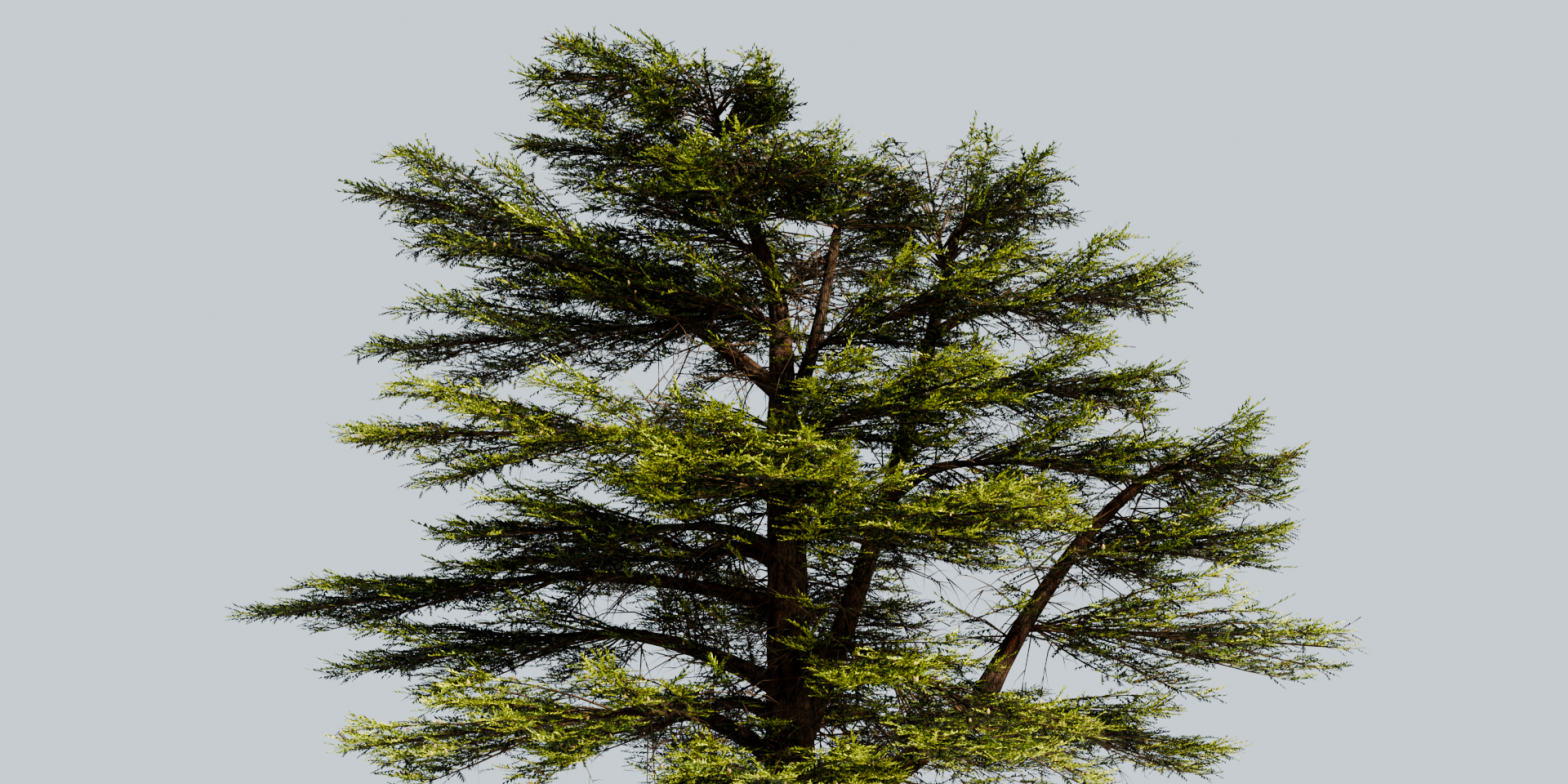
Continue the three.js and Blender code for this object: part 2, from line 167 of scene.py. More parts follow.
TIP = None
MASSES = {
    "top_left": MassPlan(Zone.TOP, "trunk", TIP, 186, 4.8, 0.1, 4.4, 2.3),
    "top_right": MassPlan(Zone.TOP, "trunk", 19.3, 8, 1.6, 0.3, 4.0, 2.2),
    "top_left_low": MassPlan(Zone.TOP, "trunk", 18.1, 176, 5.6, 0.8, 4.4, 2.3),
    "top_front": MassPlan(Zone.TOP, "trunk", 18.9, 266, 4.2, 0.3, 4.0, 2.2),
    "top_back": MassPlan(Zone.TOP, "trunk", 18.3, 84, 4.8, 1.0, 5.0, 3.0),
    "upper_left": MassPlan(Zone.LEFT, "upper_left_limb", TIP, 178, 5.8, 1.6, 5.6, 3.2),
    "upper_left_under": MassPlan(Zone.LEFT, "trunk", 14.0, 198, 8.6, 1.4, 4.4, 2.5),
    "left_mid": MassPlan(Zone.LEFT, "upper_left_limb", 14.0, 181, 8.2, -0.8, 5.4, 3.0),
    "inner_upper": MassPlan(Zone.TOP, "trunk", 15.8, 214, 4.7, 1.0, 4.8, 3.0),
    "front_upper": MassPlan(Zone.TOP, "trunk", 16.6, 277, 5.2, 0.3, 4.8, 2.8),
    "mid_top": MassPlan(Zone.TOP, "right_leader", TIP, 300, 1.4, 1.6, 5.0, 4.0),
    "leader_side": MassPlan(Zone.RIGHT, "right_leader", 13.4, 338, 6.0, 1.5, 4.4, 2.8),
    "co_top": MassPlan(Zone.TOP, "co_stem", TIP, 345, 3.0, 1.6, 5.4, 4.4),
    "co_left": MassPlan(Zone.TOP, "co_stem", 15.6, 105, 1.4, 4.0, 5.0, 4.2),
    "right_high": MassPlan(Zone.RIGHT, "right_high_limb", TIP, 358, 5.0, 0.7, 5.0, 3.2),
    "right_mid": MassPlan(Zone.RIGHT, "right_mid_limb", TIP, 356, 5.4, -0.1, 5.2, 2.6),
    "front_right_mid": MassPlan(Zone.FRONT, "trunk", 11.0, 313, 6.8, 0.6, 4.6, 2.8),
    "right_inner": MassPlan(Zone.RIGHT, "right_inner_limb", TIP, 350, 5.8, -0.1, 5.0, 3.0),
    "right_far": MassPlan(Zone.RIGHT, "right_limb", TIP, 2, 3.2, -0.1, 5.4, 3.4),
    "right_droop": MassPlan(Zone.RIGHT, "right_limb", 6.4, 350, 7.4, -0.6, 6.0, 3.6),
    "right_side": MassPlan(Zone.RIGHT, "right_limb", 8.2, 8, 5.2, 0.4, 5.0, 2.8),
    "right_hang": MassPlan(Zone.RIGHT, "right_limb_low", 4.6, 24, 6.6, -1.2, 5.2, 2.6),
    "left_front": MassPlan(Zone.FRONT, "left_front_limb", TIP, 188, 7.6, -0.2, 5.7, 3.4),
    "left_front_inner": MassPlan(Zone.FRONT, "trunk", 9.6, 235, 5.6, 0.6, 4.5, 2.8),
    "left_lower": MassPlan(Zone.LEFT, "left_lower_limb", TIP, 194, 6.4, -0.4, 5.0, 2.8),
    "long_left": MassPlan(Zone.LEFT, "long_left_limb", TIP, 180, 8.0, -1.0, 4.2, 1.5),
    "low_left": MassPlan(Zone.LEFT, "low_left_limb", TIP, 176, 7.4, -0.8, 5.4, 2.8),
    "front_left": MassPlan(Zone.FRONT, "front_left_limb", TIP, 208, 6.8, -1.0, 6.4, 3.4),
    "front_high": MassPlan(Zone.FRONT, "front_limb", TIP, 262, 5.6, -0.2, 5.4, 2.4),
    "front_sweep": MassPlan(Zone.FRONT, "trunk", 8.6, 314, 8.2, -0.2, 5.2, 2.6),
    "front_cascade": MassPlan(Zone.FRONT, "cascade_limb", TIP, 316, 7.0, -3.3, 5.6, 3.0),
    "front_low": MassPlan(Zone.FRONT, "trunk", 2.5, 266, 7.2, 0.2, 5.6, 2.4),
    "back_low_right": MassPlan(Zone.BACK, "back_low_right_limb", TIP, 50, 6.4, -1.0, 6.4, 2.8),
    "back_low_left": MassPlan(Zone.BACK, "back_low_left_limb", TIP, 132, 6.6, -0.6, 6.4, 3.4),
    "back_mid": MassPlan(Zone.BACK, "back_mid_limb", TIP, 88, 6.8, 0.7, 6.8, 3.4),
    "back_left": MassPlan(Zone.BACK, "back_left_limb", TIP, 145, 6.6, 0.3, 6.0, 3.2),
    "back_high_right": MassPlan(Zone.BACK, "co_stem", 8.8, 50, 6.8, 1.3, 6.0, 3.4),
    "back_high": MassPlan(Zone.BACK, "trunk", 11.3, 104, 7.8, 1.0, 6.2, 3.2),
    "back_upper": MassPlan(Zone.BACK, "trunk", 14.8, 70, 6.0, 3.0, 5.8, 3.4),
    "back_upper_left": MassPlan(Zone.BACK, "trunk", 14.0, 140, 7.0, 2.2, 5.4, 2.8),
}


def to_linear(hex_colour: str) -> tuple[float, float, float, float]:
    """Turns an sRGB hex colour into a linear one.

    Args:
        hex_colour: Six hex digits after a hash.

    Returns:
        Linear red, green and blue, and an alpha of 1.
    """
    shares = [int(hex_colour[i : i + 2], 16) / 255 for i in (1, 3, 5)]
    linear = [s / 12.92 if s <= 0.04045 else ((s + 0.055) / 1.055) ** 2.4 for s in shares]
    return (*linear, 1.0)


def unit(vectors: Array) -> Array:
    """Scales vectors to a length of 1 along their last axis."""
    return vectors / np.maximum(np.linalg.norm(vectors, axis=-1, keepdims=True), 1e-9)


def stretch(heading: float, run: float, climb: float) -> Array:
    """The vector of a run along a heading in degrees, with its climb."""
    angle = math.radians(heading)
    return np.array([math.cos(angle) * run, math.sin(angle) * run, climb])


def across(chord: Array) -> Array:
    """The level direction across a chord."""
    return unit(np.array([-chord[1], chord[0], 0.0]))


def smooth_rise(value: Array, low: float, high: float) -> Array:
    """Rises smoothly from 0 at low to 1 at high."""
    share = np.clip((value - low) / (high - low), 0, 1)
    return share * share * (3 - 2 * share)


def lattice_noise(x: Array, y: Array, period: int, seed: int) -> Array:
    """Smooth noise that repeats round a limb.

    Args:
        x: Place round the limb, in cells.
        y: Place along the limb, in cells.
        period: Cells in one turn.
        seed: Number of the pattern.

    Returns:
        Values from 0 to 1.
    """
    left, low = np.floor(x).astype(np.int64), np.floor(y).astype(np.int64)
    part_x, part_y = smooth_rise(x - left, 0, 1), smooth_rise(y - low, 0, 1)

    def corner(i: int, j: int) -> Array:
        """The value at one corner of each cell."""
        mixed = ((left + i) % period) * 374761393 + (low + j) * 668265263 + seed * 2147483647
        mixed = ((mixed ^ (mixed >> 13)) * 1274126177) & 0xFFFFFFFF
        return ((mixed ^ (mixed >> 16)) & 0xFFFF) / 65535

    near = corner(0, 0) * (1 - part_x) + corner(1, 0) * part_x
    far = corner(0, 1) * (1 - part_x) + corner(1, 1) * part_x
    return near * (1 - part_y) + far * part_y


def triangle_mesh(
    name: str, vertices: Array, triangles: Array, smooth: bool, relief: Array | None = None
) -> Piece:
    """Makes an object from arrays.

    Args:
        name: Name of the piece.
        vertices: Positions in metres.
        triangles: Three vertex numbers a row.
        smooth: Whether the faces shade smoothly.
        relief: Height of the bark at each vertex, for the bark's colours, which paint shade into its
            fissures.

    Returns:
        The linked object.
    """
    mesh = bpy.data.meshes.new(name)
    mesh.vertices.add(len(vertices))
    mesh.vertices.foreach_set("co", vertices.astype(np.float32).ravel())
    mesh.loops.add(triangles.size)
    mesh.loops.foreach_set("vertex_index", triangles.astype(np.int32).ravel())
    mesh.polygons.add(len(triangles))
    mesh.polygons.foreach_set("loop_start", np.arange(0, triangles.size, 3, dtype=np.int32))
    mesh.polygons.foreach_set("use_smooth", np.full(len(triangles), smooth))
    mesh.update(calc_edges=True)
    mesh.validate()
    if relief is not None:
        values = relief.astype(np.float32)
        mesh.attributes.new("relief", "FLOAT", "POINT").data.foreach_set("value", values)
    piece = bpy.data.objects.new(name, mesh)
    bpy.context.scene.collection.objects.link(piece)
    return piece


def dress(piece: Piece, material: Material, nodes: list[str]) -> None:
    """Gives a piece its finish and ties it to the frame.

    Args:
        piece: The piece.
        material: Its finish.
        nodes: CAD nodes that the piece stands for.
    """
    piece.data.materials.append(material)
    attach(piece, BODY)
    if nodes:
        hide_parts(*nodes)
    log.info("%s: %d triangles", piece.name, len(piece.data.polygons))


def add_node(tree: NodeTree, kind: str, inputs: dict | None = None, **settings) -> Node:
    """Adds one shader node.

    Args:
        tree: The node tree.
        kind: The node's type name.
        inputs: Input name or number to an output socket or a plain value.
        **settings: Properties of the node.

    Returns:
        The new node.
    """
    node = tree.nodes.new(kind)
    for key, value in settings.items():
        setattr(node, key, value)
    for key, value in (inputs or {}).items():
        if isinstance(value, bpy.types.NodeSocket):
            tree.links.new(value, node.inputs[key])
        else:
            node.inputs[key].default_value = value
    return node


def set_stops(ramp: Node, *stops: tuple[float, str]) -> None:
    """Sets the stops of a colour ramp.

    Args:
        ramp: The ramp node.
        *stops: Position and sRGB colour of each stop, in rising order.
    """
    elements = ramp.color_ramp.elements
    elements.remove(elements[1])
    elements[0].position = stops[0][0]
    elements[0].color = to_linear(stops[0][1])
    for position, colour in stops[1:]:
        elements.new(position).color = to_linear(colour)


def between(value: bpy.types.NodeSocket, low: float, high: float, least: float, most: float) -> dict:
    """The inputs of a range node that turns low into least and high into most."""
    return {"Value": value, "From Min": low, "From Max": high, "To Min": least, "To Max": most}


def new_material(name: str, roughness: float, specular: float) -> tuple[Material, NodeTree, Node]:
    """Starts a node material.

    Args:
        name: Name of the real material.
        roughness: Roughness of its surface.
        specular: Strength of its reflections.

    Returns:
        The material, its node tree and its Principled shader.
    """
    material = bpy.data.materials.new(name)
    material.use_nodes = True
    shader = material.node_tree.nodes["Principled BSDF"]
    shader.inputs["Roughness"].default_value = roughness
    shader.inputs["Specular IOR Level"].default_value = specular
    return material, material.node_tree, shader


@dataclass(frozen=True)
class CedarBark:
    """Grown cedar bark: matt grey-brown ridges, near-black fissures of painted shade and orange-brown patches
    of warm tone and painted sun.
    """

    ridge: str = "#4d4035"
    # The slope and fissure colours darken the bark into its fissures as painted shade.
    slope: str = "#251b15"
    fissure: str = "#0a0705"
    # Orange-brown patches: partly the bark's warm tone, partly painted sunlight.
    flush: str = "#9a5f2c"
    patch_size: float = 1.1
    plate_size: tuple[float, float, float] = (0.07, 0.07, 0.18)
    # Width of the cracks between plates, which are darkened as painted shade.
    crack_width: float = 0.16
    scale_size: float = 0.018
    roughness: float = 0.9
    specular: float = 0.25

    def material(self) -> Material:
        """Colours the ridges by the mesh's own relief, cracked into plates 70 by 180 mm and scales of 18 mm.

        A real plate is 30 to 50 mm wide. Plates are drawn coarser, so that their cracks show. The fissures
        and the cracks are darkened as painted shade.
        """
        material, tree, shader = new_material("cedar_bark", self.roughness, self.specular)
        node = partial(add_node, tree)
        place = node("ShaderNodeTexCoord").outputs["Object"]
        relief = node("ShaderNodeAttribute", attribute_name="relief").outputs["Fac"]
        patches = node("ShaderNodeTexNoise", {"Vector": place, "Scale": 1 / self.patch_size, "Detail": 3.0})
        scales = node("ShaderNodeTexNoise", {"Vector": place, "Scale": 1 / self.scale_size, "Detail": 4.0})
        # Painted shade: darker from the ridges down into the fissures.
        ramp = node("ShaderNodeValToRGB", {"Fac": relief})
        set_stops(ramp, (0.12, self.fissure), (0.5, self.slope), (0.92, self.ridge))
        # Patches of the orange-brown colour, partly the bark's warm tone and partly painted sunlight.
        flush_and_sun_mask = node("ShaderNodeMapRange", between(patches.outputs["Fac"], 0.42, 0.66, 0.0, 1.0))
        warm = node(
            "ShaderNodeMix",
            {"Factor": flush_and_sun_mask.outputs["Result"], 6: ramp.outputs["Color"], 7: to_linear(self.flush)},
            data_type="RGBA",
            blend_type="SOFT_LIGHT",
        )
        shade = node("ShaderNodeMapRange", between(scales.outputs["Fac"], 0.3, 0.7, 0.72, 1.2))
        stretched = node(
            "ShaderNodeMapping", {"Vector": place, "Scale": tuple(1 / size for size in self.plate_size)}
        )
        plates = node(
            "ShaderNodeTexVoronoi",
            {"Vector": stretched.outputs["Vector"], "Scale": 1.0},
            feature="DISTANCE_TO_EDGE",
        )
        edge = plates.outputs["Distance"]
        # Painted shade: darker along the cracks between the plates.
        cracks = node("ShaderNodeMapRange", between(edge, 0.0, self.crack_width, 0.3, 1.15))
        # The crack shade times the scales' random tone darkens the colour and also drives the bump.
        parts = {0: cracks.outputs["Result"], 1: shade.outputs["Result"]}
        crack_shade_and_relief = node("ShaderNodeMath", parts, operation="MULTIPLY").outputs["Value"]
        speckled_and_crack_shaded = node("ShaderNodeVectorMath", {0: warm.outputs[2], "Scale": crack_shade_and_relief}, operation="SCALE")
        bump = node("ShaderNodeBump", {"Height": crack_shade_and_relief, "Strength": 0.9, "Distance": 0.02})
        tree.links.new(speckled_and_crack_shaded.outputs[0], shader.inputs["Base Color"])
        tree.links.new(bump.outputs["Normal"], shader.inputs["Normal"])
        return material


@dataclass(frozen=True)
class YoungBark:
    """Thin bark of twigs, or cone scales: smooth at this distance, with lighter and darker patches."""

    name: str
    light: str
    dark: str
    patch_size: float = 0.25
    roughness: float = 0.8
    specular: float = 0.3

    def material(self) -> Material:
        """Mixes two browns in patches of the finish's own size."""
        material, tree, shader = new_material(self.name, self.roughness, self.specular)
        place = add_node(tree, "ShaderNodeTexCoord").outputs["Object"]
        patches = add_node(
            tree, "ShaderNodeTexNoise", {"Vector": place, "Scale": 1 / self.patch_size, "Detail": 3.0}
        )
        ramp = add_node(tree, "ShaderNodeValToRGB", {"Fac": patches.outputs["Fac"]})
        set_stops(ramp, (0.35, self.dark), (0.65, self.light))
        tree.links.new(ramp.outputs["Color"], shader.inputs["Base Color"])
        return material


@dataclass(frozen=True)
class CedarNeedles:
    """Waxy cedar needles of one tint: a satin green that shifts a little from shoot to shoot."""

    tint: Tint
    slot: str
    light: str
    dark: str
    # gap: the near-black colour painted as shade in the gaps between tufts.
    gap: str
    shoot_size: float = 0.22
    tuft_size: float = 0.05
    roughness: float = 0.5
    specular: float = 0.15

    def material(self) -> Material:
        """Painted shade in dark gaps between tufts 50 mm across, with light needle ends, and patches as large
        as a shoot.
        """
        name = f"cedar_needles_{self.tint.value}"
        material, tree, shader = new_material(name, self.roughness, self.specular)
        node = partial(add_node, tree)
        place = node("ShaderNodeTexCoord").outputs["Object"]
        tufts = node("ShaderNodeTexNoise", {"Vector": place, "Scale": 1 / self.tuft_size, "Detail": 3.0})
        ramp = node("ShaderNodeValToRGB", {"Fac": tufts.outputs["Fac"]})
        # The gap stop paints shade between the tufts.
        set_stops(ramp, (0.4, self.gap), (0.49, self.dark), (0.58, self.light))
        shoots = node("ShaderNodeTexNoise", {"Vector": place, "Scale": 1 / self.shoot_size, "Detail": 2.0})
        shade = node("ShaderNodeMapRange", between(shoots.outputs["Fac"], 0.35, 0.65, 0.75, 1.2))
        parts = {0: ramp.outputs["Color"], "Scale": shade.outputs["Result"]}
        shaded = node("ShaderNodeVectorMath", parts, operation="SCALE")
        bump = node("ShaderNodeBump", {"Height": tufts.outputs["Fac"], "Strength": 0.8, "Distance": 0.03})
        tree.links.new(shaded.outputs[0], shader.inputs["Base Color"])
        tree.links.new(bump.outputs["Normal"], shader.inputs["Normal"])
        return material


@dataclass(frozen=True)
class PaleGround:
    """Plain matt studio floor, pale so that the shadow of the crown reads on it."""

    colour: str = "#d9d6cf"
    roughness: float = 0.9
    specular: float = 0.5

    def material(self) -> Material:
        """A plain matt floor paint."""
        material, _, shader = new_material("pale_floor", self.roughness, self.specular)
        shader.inputs["Base Color"].default_value = to_linear(self.colour)
        return material


BARK = CedarBark()
TWIG_BARK = YoungBark("cedar_twig_bark", "#54412f", "#2a1e16")
DEAD_BARK = YoungBark("dead_twiglet_bark", "#5c4937", "#2b211a")
CONE_SCALES = YoungBark("cedar_cone_scales", "#b39a6b", "#8a7a4e", patch_size=0.03, roughness=0.6)
# The tints step from painted sunlight (SUNLIT) down to near-black painted shade (DEEP); each gap colour is
# painted shade between the tufts.
NEEDLES = {
    Tint.SUNLIT: CedarNeedles(Tint.SUNLIT, "needles_sunlit", "#c0cc5a", "#889a3c", "#354018"),
    Tint.FRESH: CedarNeedles(Tint.FRESH, "needles_fresh", "#869b4a", "#4f672b", "#1b2410"),
    Tint.MID: CedarNeedles(Tint.MID, "needles_mid", "#43572f", "#23331a", "#0c1208"),
    Tint.DEEP: CedarNeedles(Tint.DEEP, "needles_deep", "#1f2c18", "#0f160b", "#060804"),
    Tint.BRONZED: CedarNeedles(Tint.BRONZED, "needles_mid", "#74633a", "#483d25", "#1e190f"),
}


@dataclass
class Limb:
    """A tapering limb on a bow in its own upright plane, with a collar where it leaves its parent."""

    start: Array
    chord: Array
    arch: float
    root_radius: float
    tip_radius: float
    collar: float = 0.35
    collar_length: float = 0.45
    leafy_share: float = 0.75
    halvings: int = 30

    @property
    def length(self) -> float:
        """Length of the chord."""
        return float(np.linalg.norm(self.chord))

    @property
    def side(self) -> Array:
        """The level direction across the limb."""
        return across(self.chord)

    def point(self, share: Array) -> Array:
        """Points of the axis at shares of its length."""
        share = np.asarray(share, float)[..., None]
        return self.start + share * self.chord + self.arch * 4 * share * (1 - share) * UP

    def tangent(self, share: Array) -> Array:
        """Directions of the axis at shares of its length."""
        share = np.asarray(share, float)[..., None]
        return unit(self.chord + self.arch * 4 * (1 - 2 * share) * UP)

    def radius(self, share: Array) -> Array:
        """Radii at shares of the length."""
        share = np.asarray(share, float)
        swell = self.collar * self.root_radius * np.exp(-share * self.length / self.collar_length)
        return self.root_radius + (self.tip_radius - self.root_radius) * share + swell

    def lobe(self, share: Array, turn: Array) -> Array:
        """How much a limb swells at each place round it."""
        return np.ones(np.broadcast(share, turn).shape)

    def share_at(self, height: float) -> float:
        """The share of the length at which the limb reaches a height."""
        low, high = 0.0, 1.0
        for _ in range(self.halvings):
            middle = (low + high) / 2
            if self.point(middle)[2] < height:
                low = middle
            else:
                high = middle
        return low


@dataclass
class Trunk(Limb):
    """The trunk, from its flat cut and root flare past the fork to the tip of the leaning leader."""

    start: Array = field(default_factory=lambda: np.zeros(3))
    chord: Array = field(default_factory=lambda: np.array([0.0, 0.0, 20.2]))
    arch: float = 0.0
    root_radius: float = 0.6
    tip_radius: float = 0.035
    taper: float = 0.0155
    leader_radius: float = 0.31
    fork: tuple[float, float] = (11.0, 12.6)
    flare_radius: float = 0.45
    flare_height: float = 1.5
    lobes: int = 5
    lobe_depth: float = 0.16
    bow: float = 1.3e-3
    lean: float = 0.27
    lean_start: float = 14.0
    lean_ease: float = 1.5
    leafy_share: float = 0.35
    step: float = 1e-4

    @property
    def side(self) -> Array:
        """The direction away from the viewer."""
        return np.array([0.0, 1.0, 0.0])

    def point(self, share: Array) -> Array:
        """Points of the axis, which bows slightly and leans to the left near its top."""
        height = np.asarray(share, float) * self.length
        above = np.maximum(height - self.lean_start, 0)
        x = -self.bow * height**2 - self.lean * above * (1 - np.exp(-above / self.lean_ease))
        return np.stack([x, np.zeros_like(x), height], axis=-1)

    def tangent(self, share: Array) -> Array:
        """Directions of the axis."""
        share = np.maximum(np.asarray(share, float), self.step)
        return unit(self.point(share) - self.point(share - self.step))

    def radius(self, share: Array) -> Array:
        """Radii of the flare, the bole and the leader."""
        height = np.asarray(share, float) * self.length
        flare = self.flare_radius * np.exp(-height / self.flare_height)
        bole = self.root_radius - self.taper * height
        past = np.maximum((height - self.fork[1]) / (self.length - self.fork[1]), 0)
        leader = self.leader_radius + (self.tip_radius - self.leader_radius) * past
        return flare + bole + (leader - bole) * smooth_rise(height, *self.fork)

    def lobe(self, share: Array, turn: Array) -> Array:
        """Root lobes that fade with height."""
        fade = np.exp(-share * self.length / self.flare_height)
        return 1 + self.lobe_depth * fade * np.cos(self.lobes * turn)


@dataclass
class Bend:
    """A curved twig or stem: a quadratic curve from its foot past its knee to its end."""

    foot: Array
    knee: Array
    end: Array

    def point(self, share: Array) -> Array:
        """Points at shares of the curve."""
        share = np.asarray(share, float)[..., None]
        return (1 - share) ** 2 * self.foot + 2 * share * (1 - share) * self.knee + share**2 * self.end

    def tangent(self, share: Array) -> Array:
        """Directions at shares of the curve."""
        share = np.asarray(share, float)[..., None]
        return unit((1 - share) * (self.knee - self.foot) + share * (self.end - self.knee))

    @property
    def length(self) -> float:
        """Length over the knee."""
        return float(np.linalg.norm(self.knee - self.foot) + np.linalg.norm(self.end - self.knee))


@dataclass
class Space:
    """An egg-shaped space that foliage keeps to: its centre, its three axes and its half sizes."""

    centre: Array
    axes: Array
    half: Array

    def place(self, along: float, side: float, up: float) -> Array:
        """A point from shares of the half sizes along, across and up."""
        return self.centre + (np.array([along, side, up]) * self.half) @ self.axes

    def depth(self, points: Array) -> Array:
        """0 at the middle of the space and 1 on its edge."""
        return np.linalg.norm((points - self.centre) @ self.axes.T / self.half, axis=-1)

    def height(self, points: Array) -> Array:
        """-1 at the bottom of the space and 1 at its top."""
        return (points - self.centre) @ self.axes[2] / self.half[2]


@dataclass
class Mass:
    """One mass of foliage: its space, its stem and the source's rule for its twigs.

    twig_part is the first place along and the length of the part with twigs. twig_fullness and twig_back are
    a least value and what a draw adds to it. twig_knee is the knee's share of the way and of the climb.
    """

    name: str
    plan: MassPlan
    parent: Limb
    seed: int
    twigs_in_rule: int = 30
    tiers: tuple[float, ...] = (0.1, -0.55, 0.4, -0.25, 0.75, -0.8, 0.55, -0.05, -0.4)
    first_twig: float = 0.25
    stem_knee: float = 0.15
    stem_arch: float = 0.1
    side_stem_radius: float = 0.105
    gap: float = 0.0003
    twig_part: Range = (-0.62, 1.5)
    twig_shift: float = 0.12
    twig_drop: float = 0.25
    twig_fullness: Range = (0.84, 0.14)
    twig_back: Range = (0.27, 0.12)
    twig_knee: Range = (0.55, 0.85)
    twig_arch: float = 0.05

    def __post_init__(self) -> None:
        """Works out the space and the stem."""
        plan = self.plan
        axis = stretch(plan.heading, plan.run, plan.climb)
        self.reach = float(np.linalg.norm(axis))
        on_tip = plan.leaves_at is TIP
        share = 1.0 if on_tip else self.parent.share_at(plan.leaves_at)
        clear = 0.0 if on_tip else float(self.parent.radius(share))
        foot = self.parent.point(share)
        axes = np.array([unit(axis), across(axis), np.cross(unit(axis), across(axis))])
        half = np.array([self.reach, plan.width, plan.depth]) / 2
        self.space = Space(foot + axes[0] * (clear + self.reach / 2), axes, half)
        self.first_share = (clear + self.first_twig) / self.reach
        leave = unit(axes[0] + UP * self.stem_arch)
        if on_tip:
            leave = self.parent.tangent(1.0)
            foot = foot + leave * self.gap
        self.stem_radius = float(self.parent.tip_radius) if on_tip else self.side_stem_radius
        self.stem = Bend(foot, foot + leave * self.stem_knee * self.reach, self.space.place(1, 0, 0))

    def draw(self) -> float:
        """A seeded draw between 0 and 1."""
        self.seed = (self.seed * 1664525 + 1013904223) % 4294967296
        return self.seed / 4294967296

    def stem_point(self, share: float) -> Array:
        """A point of the stem as the source has it, straight between its three rings."""
        part = share * 2
        ring = min(int(part), 1)
        low, high = self.stem.point(ring / 2), self.stem.point((ring + 1) / 2)
        return low + (high - low) * (part - ring)

    def twigs(self) -> list[Bend]:
        """The twigs of the source's rule: each leaves the stem, climbs to its tier and levels out."""
        made = []
        first, part = self.twig_part
        for index in range(self.twigs_in_rule):
            shift, drop, fullness, back = (self.draw() for _ in range(4))
            along = first + part * (index + 1) / self.twigs_in_rule + (shift - 0.5) * self.twig_shift
            room = math.sqrt(1 - along * along)
            up = self.tiers[index % len(self.tiers)] * (1 - self.twig_drop * drop) * room
            hand = 1 if index % 2 == 0 else -1
            full = self.twig_fullness[0] + self.twig_fullness[1] * fullness
            side = hand * math.sqrt(room * room - up * up) * full
            leaves_at = (along + 1) / 2 - self.twig_back[0] - self.twig_back[1] * back
            start = self.stem_point(max(leaves_at, self.first_share))
            end = self.space.place(along, side, up)
            knee = start + (end - start) * self.twig_knee[0]
            arch = self.twig_arch * np.linalg.norm(end - start)
            knee[2] = start[2] + (end[2] - start[2]) * self.twig_knee[1] + arch
            made.append(Bend(start, knee, end))
        return made


@dataclass
class Skeleton:
    """The trunk, the limbs and the masses of foliage, worked out by the source's rule."""

    first_seed: int = 101
    seed_step: int = 7
    guard_gap: float = 0.3

    def __post_init__(self) -> None:
        """Builds the limbs, then the masses on them."""
        self.limbs: dict[str, Limb] = {"trunk": Trunk()}
        for name, plan in LIMBS.items():
            parent = self.limbs[plan.parent]
            start = parent.point(parent.share_at(plan.leaves_at))
            chord = stretch(plan.heading, plan.run, plan.climb)
            self.limbs[name] = Limb(start, chord, plan.arch, plan.root_radius, plan.tip_radius)
        self.masses = [
            Mass(name, plan, self.limbs[plan.parent], self.first_seed + self.seed_step * index)
            for index, (name, plan) in enumerate(MASSES.items())
        ]

    def clear_of_limbs(self, points: Array, margin: float) -> Array:
        """Tells which points lie outside every limb, by balls along its axis.

        Args:
            points: Positions, one a row.
            margin: Distance to keep from the bark.

        Returns:
            True for each point that is clear.
        """
        clear = np.ones(len(points), bool)
        for limb in self.limbs.values():
            shares = np.linspace(0, 1, max(int(limb.length / self.guard_gap), 4))
            axis, radii = limb.point(shares), limb.radius(shares) + margin
            for centre, radius in zip(axis, radii):
                clear &= ((points - centre) ** 2).sum(-1) > radius * radius
        return clear


def wall_faces(bands: int, sides: int) -> Array:
    """The triangles of a wall over rows of vertices.

    Args:
        bands: Bands between the rows.
        sides: Vertices in a row.

    Returns:
        Three vertex numbers a row.
    """
    rows, here = np.arange(bands)[:, None] * sides, np.arange(sides)
    low, low_next = rows + here, rows + (here + 1) % sides
    walls = np.stack([low, low_next, low + sides, low_next, low_next + sides, low + sides], axis=-1)
    return walls.reshape(-1, 3)


def fan_faces(first: int, sides: int, point: int) -> Array:
    """The triangles from a row of vertices, from its first one on, to a point."""
    here = np.arange(sides)
    return np.stack([first + here, first + (here + 1) % sides, np.full(sides, point)], axis=-1)


def repeat_faces(faces: Array, vertices: Array) -> Faces:
    """Flattens many like meshes, with the faces of one and the vertices of each, into one mesh."""
    starts = np.arange(len(vertices))[:, None, None] * vertices.shape[1]
    return vertices.reshape(-1, 3), (faces + starts).reshape(-1, 3)


def tubes(paths: Array, radii: Array, sides: int, steep: float = 0.85) -> Faces:
    """Builds tapering tubes, each closed to a point at its end.

    Args:
        paths: Points of each tube, as tubes by points by 3.
        radii: Radius at each point; the last one isn't used.
        sides: Sides of every tube.
        steep: Upward share of a direction from which a tube is turned by another guide.

    Returns:
        Vertices and triangles.
    """
    count, rings = radii.shape
    ahead = unit(np.gradient(paths, axis=1))
    whole = unit(paths[:, -1] - paths[:, 0])
    is_steep = np.abs(whole[:, 2]) > steep
    guide = np.where(is_steep[:, None], np.array([1.0, 0.2, 0.0]), UP)[:, None, :]
    side = unit(np.cross(ahead, guide))
    other = np.cross(side, ahead)
    turn = np.linspace(0, 2 * np.pi, sides, endpoint=False)
    out = np.cos(turn)[:, None] * side[:, :, None, :] + np.sin(turn)[:, None] * other[:, :, None, :]
    rows = (paths[:, :-1, None, :] + radii[:, :-1, None, None] * out[:, :-1]).reshape(count, -1, 3)
    last = (rings - 2) * sides
    one = np.concatenate([wall_faces(rings - 2, sides), fan_faces(last, sides, last + sides)])
    return repeat_faces(one, np.concatenate([rows, paths[:, -1:, :]], axis=1))


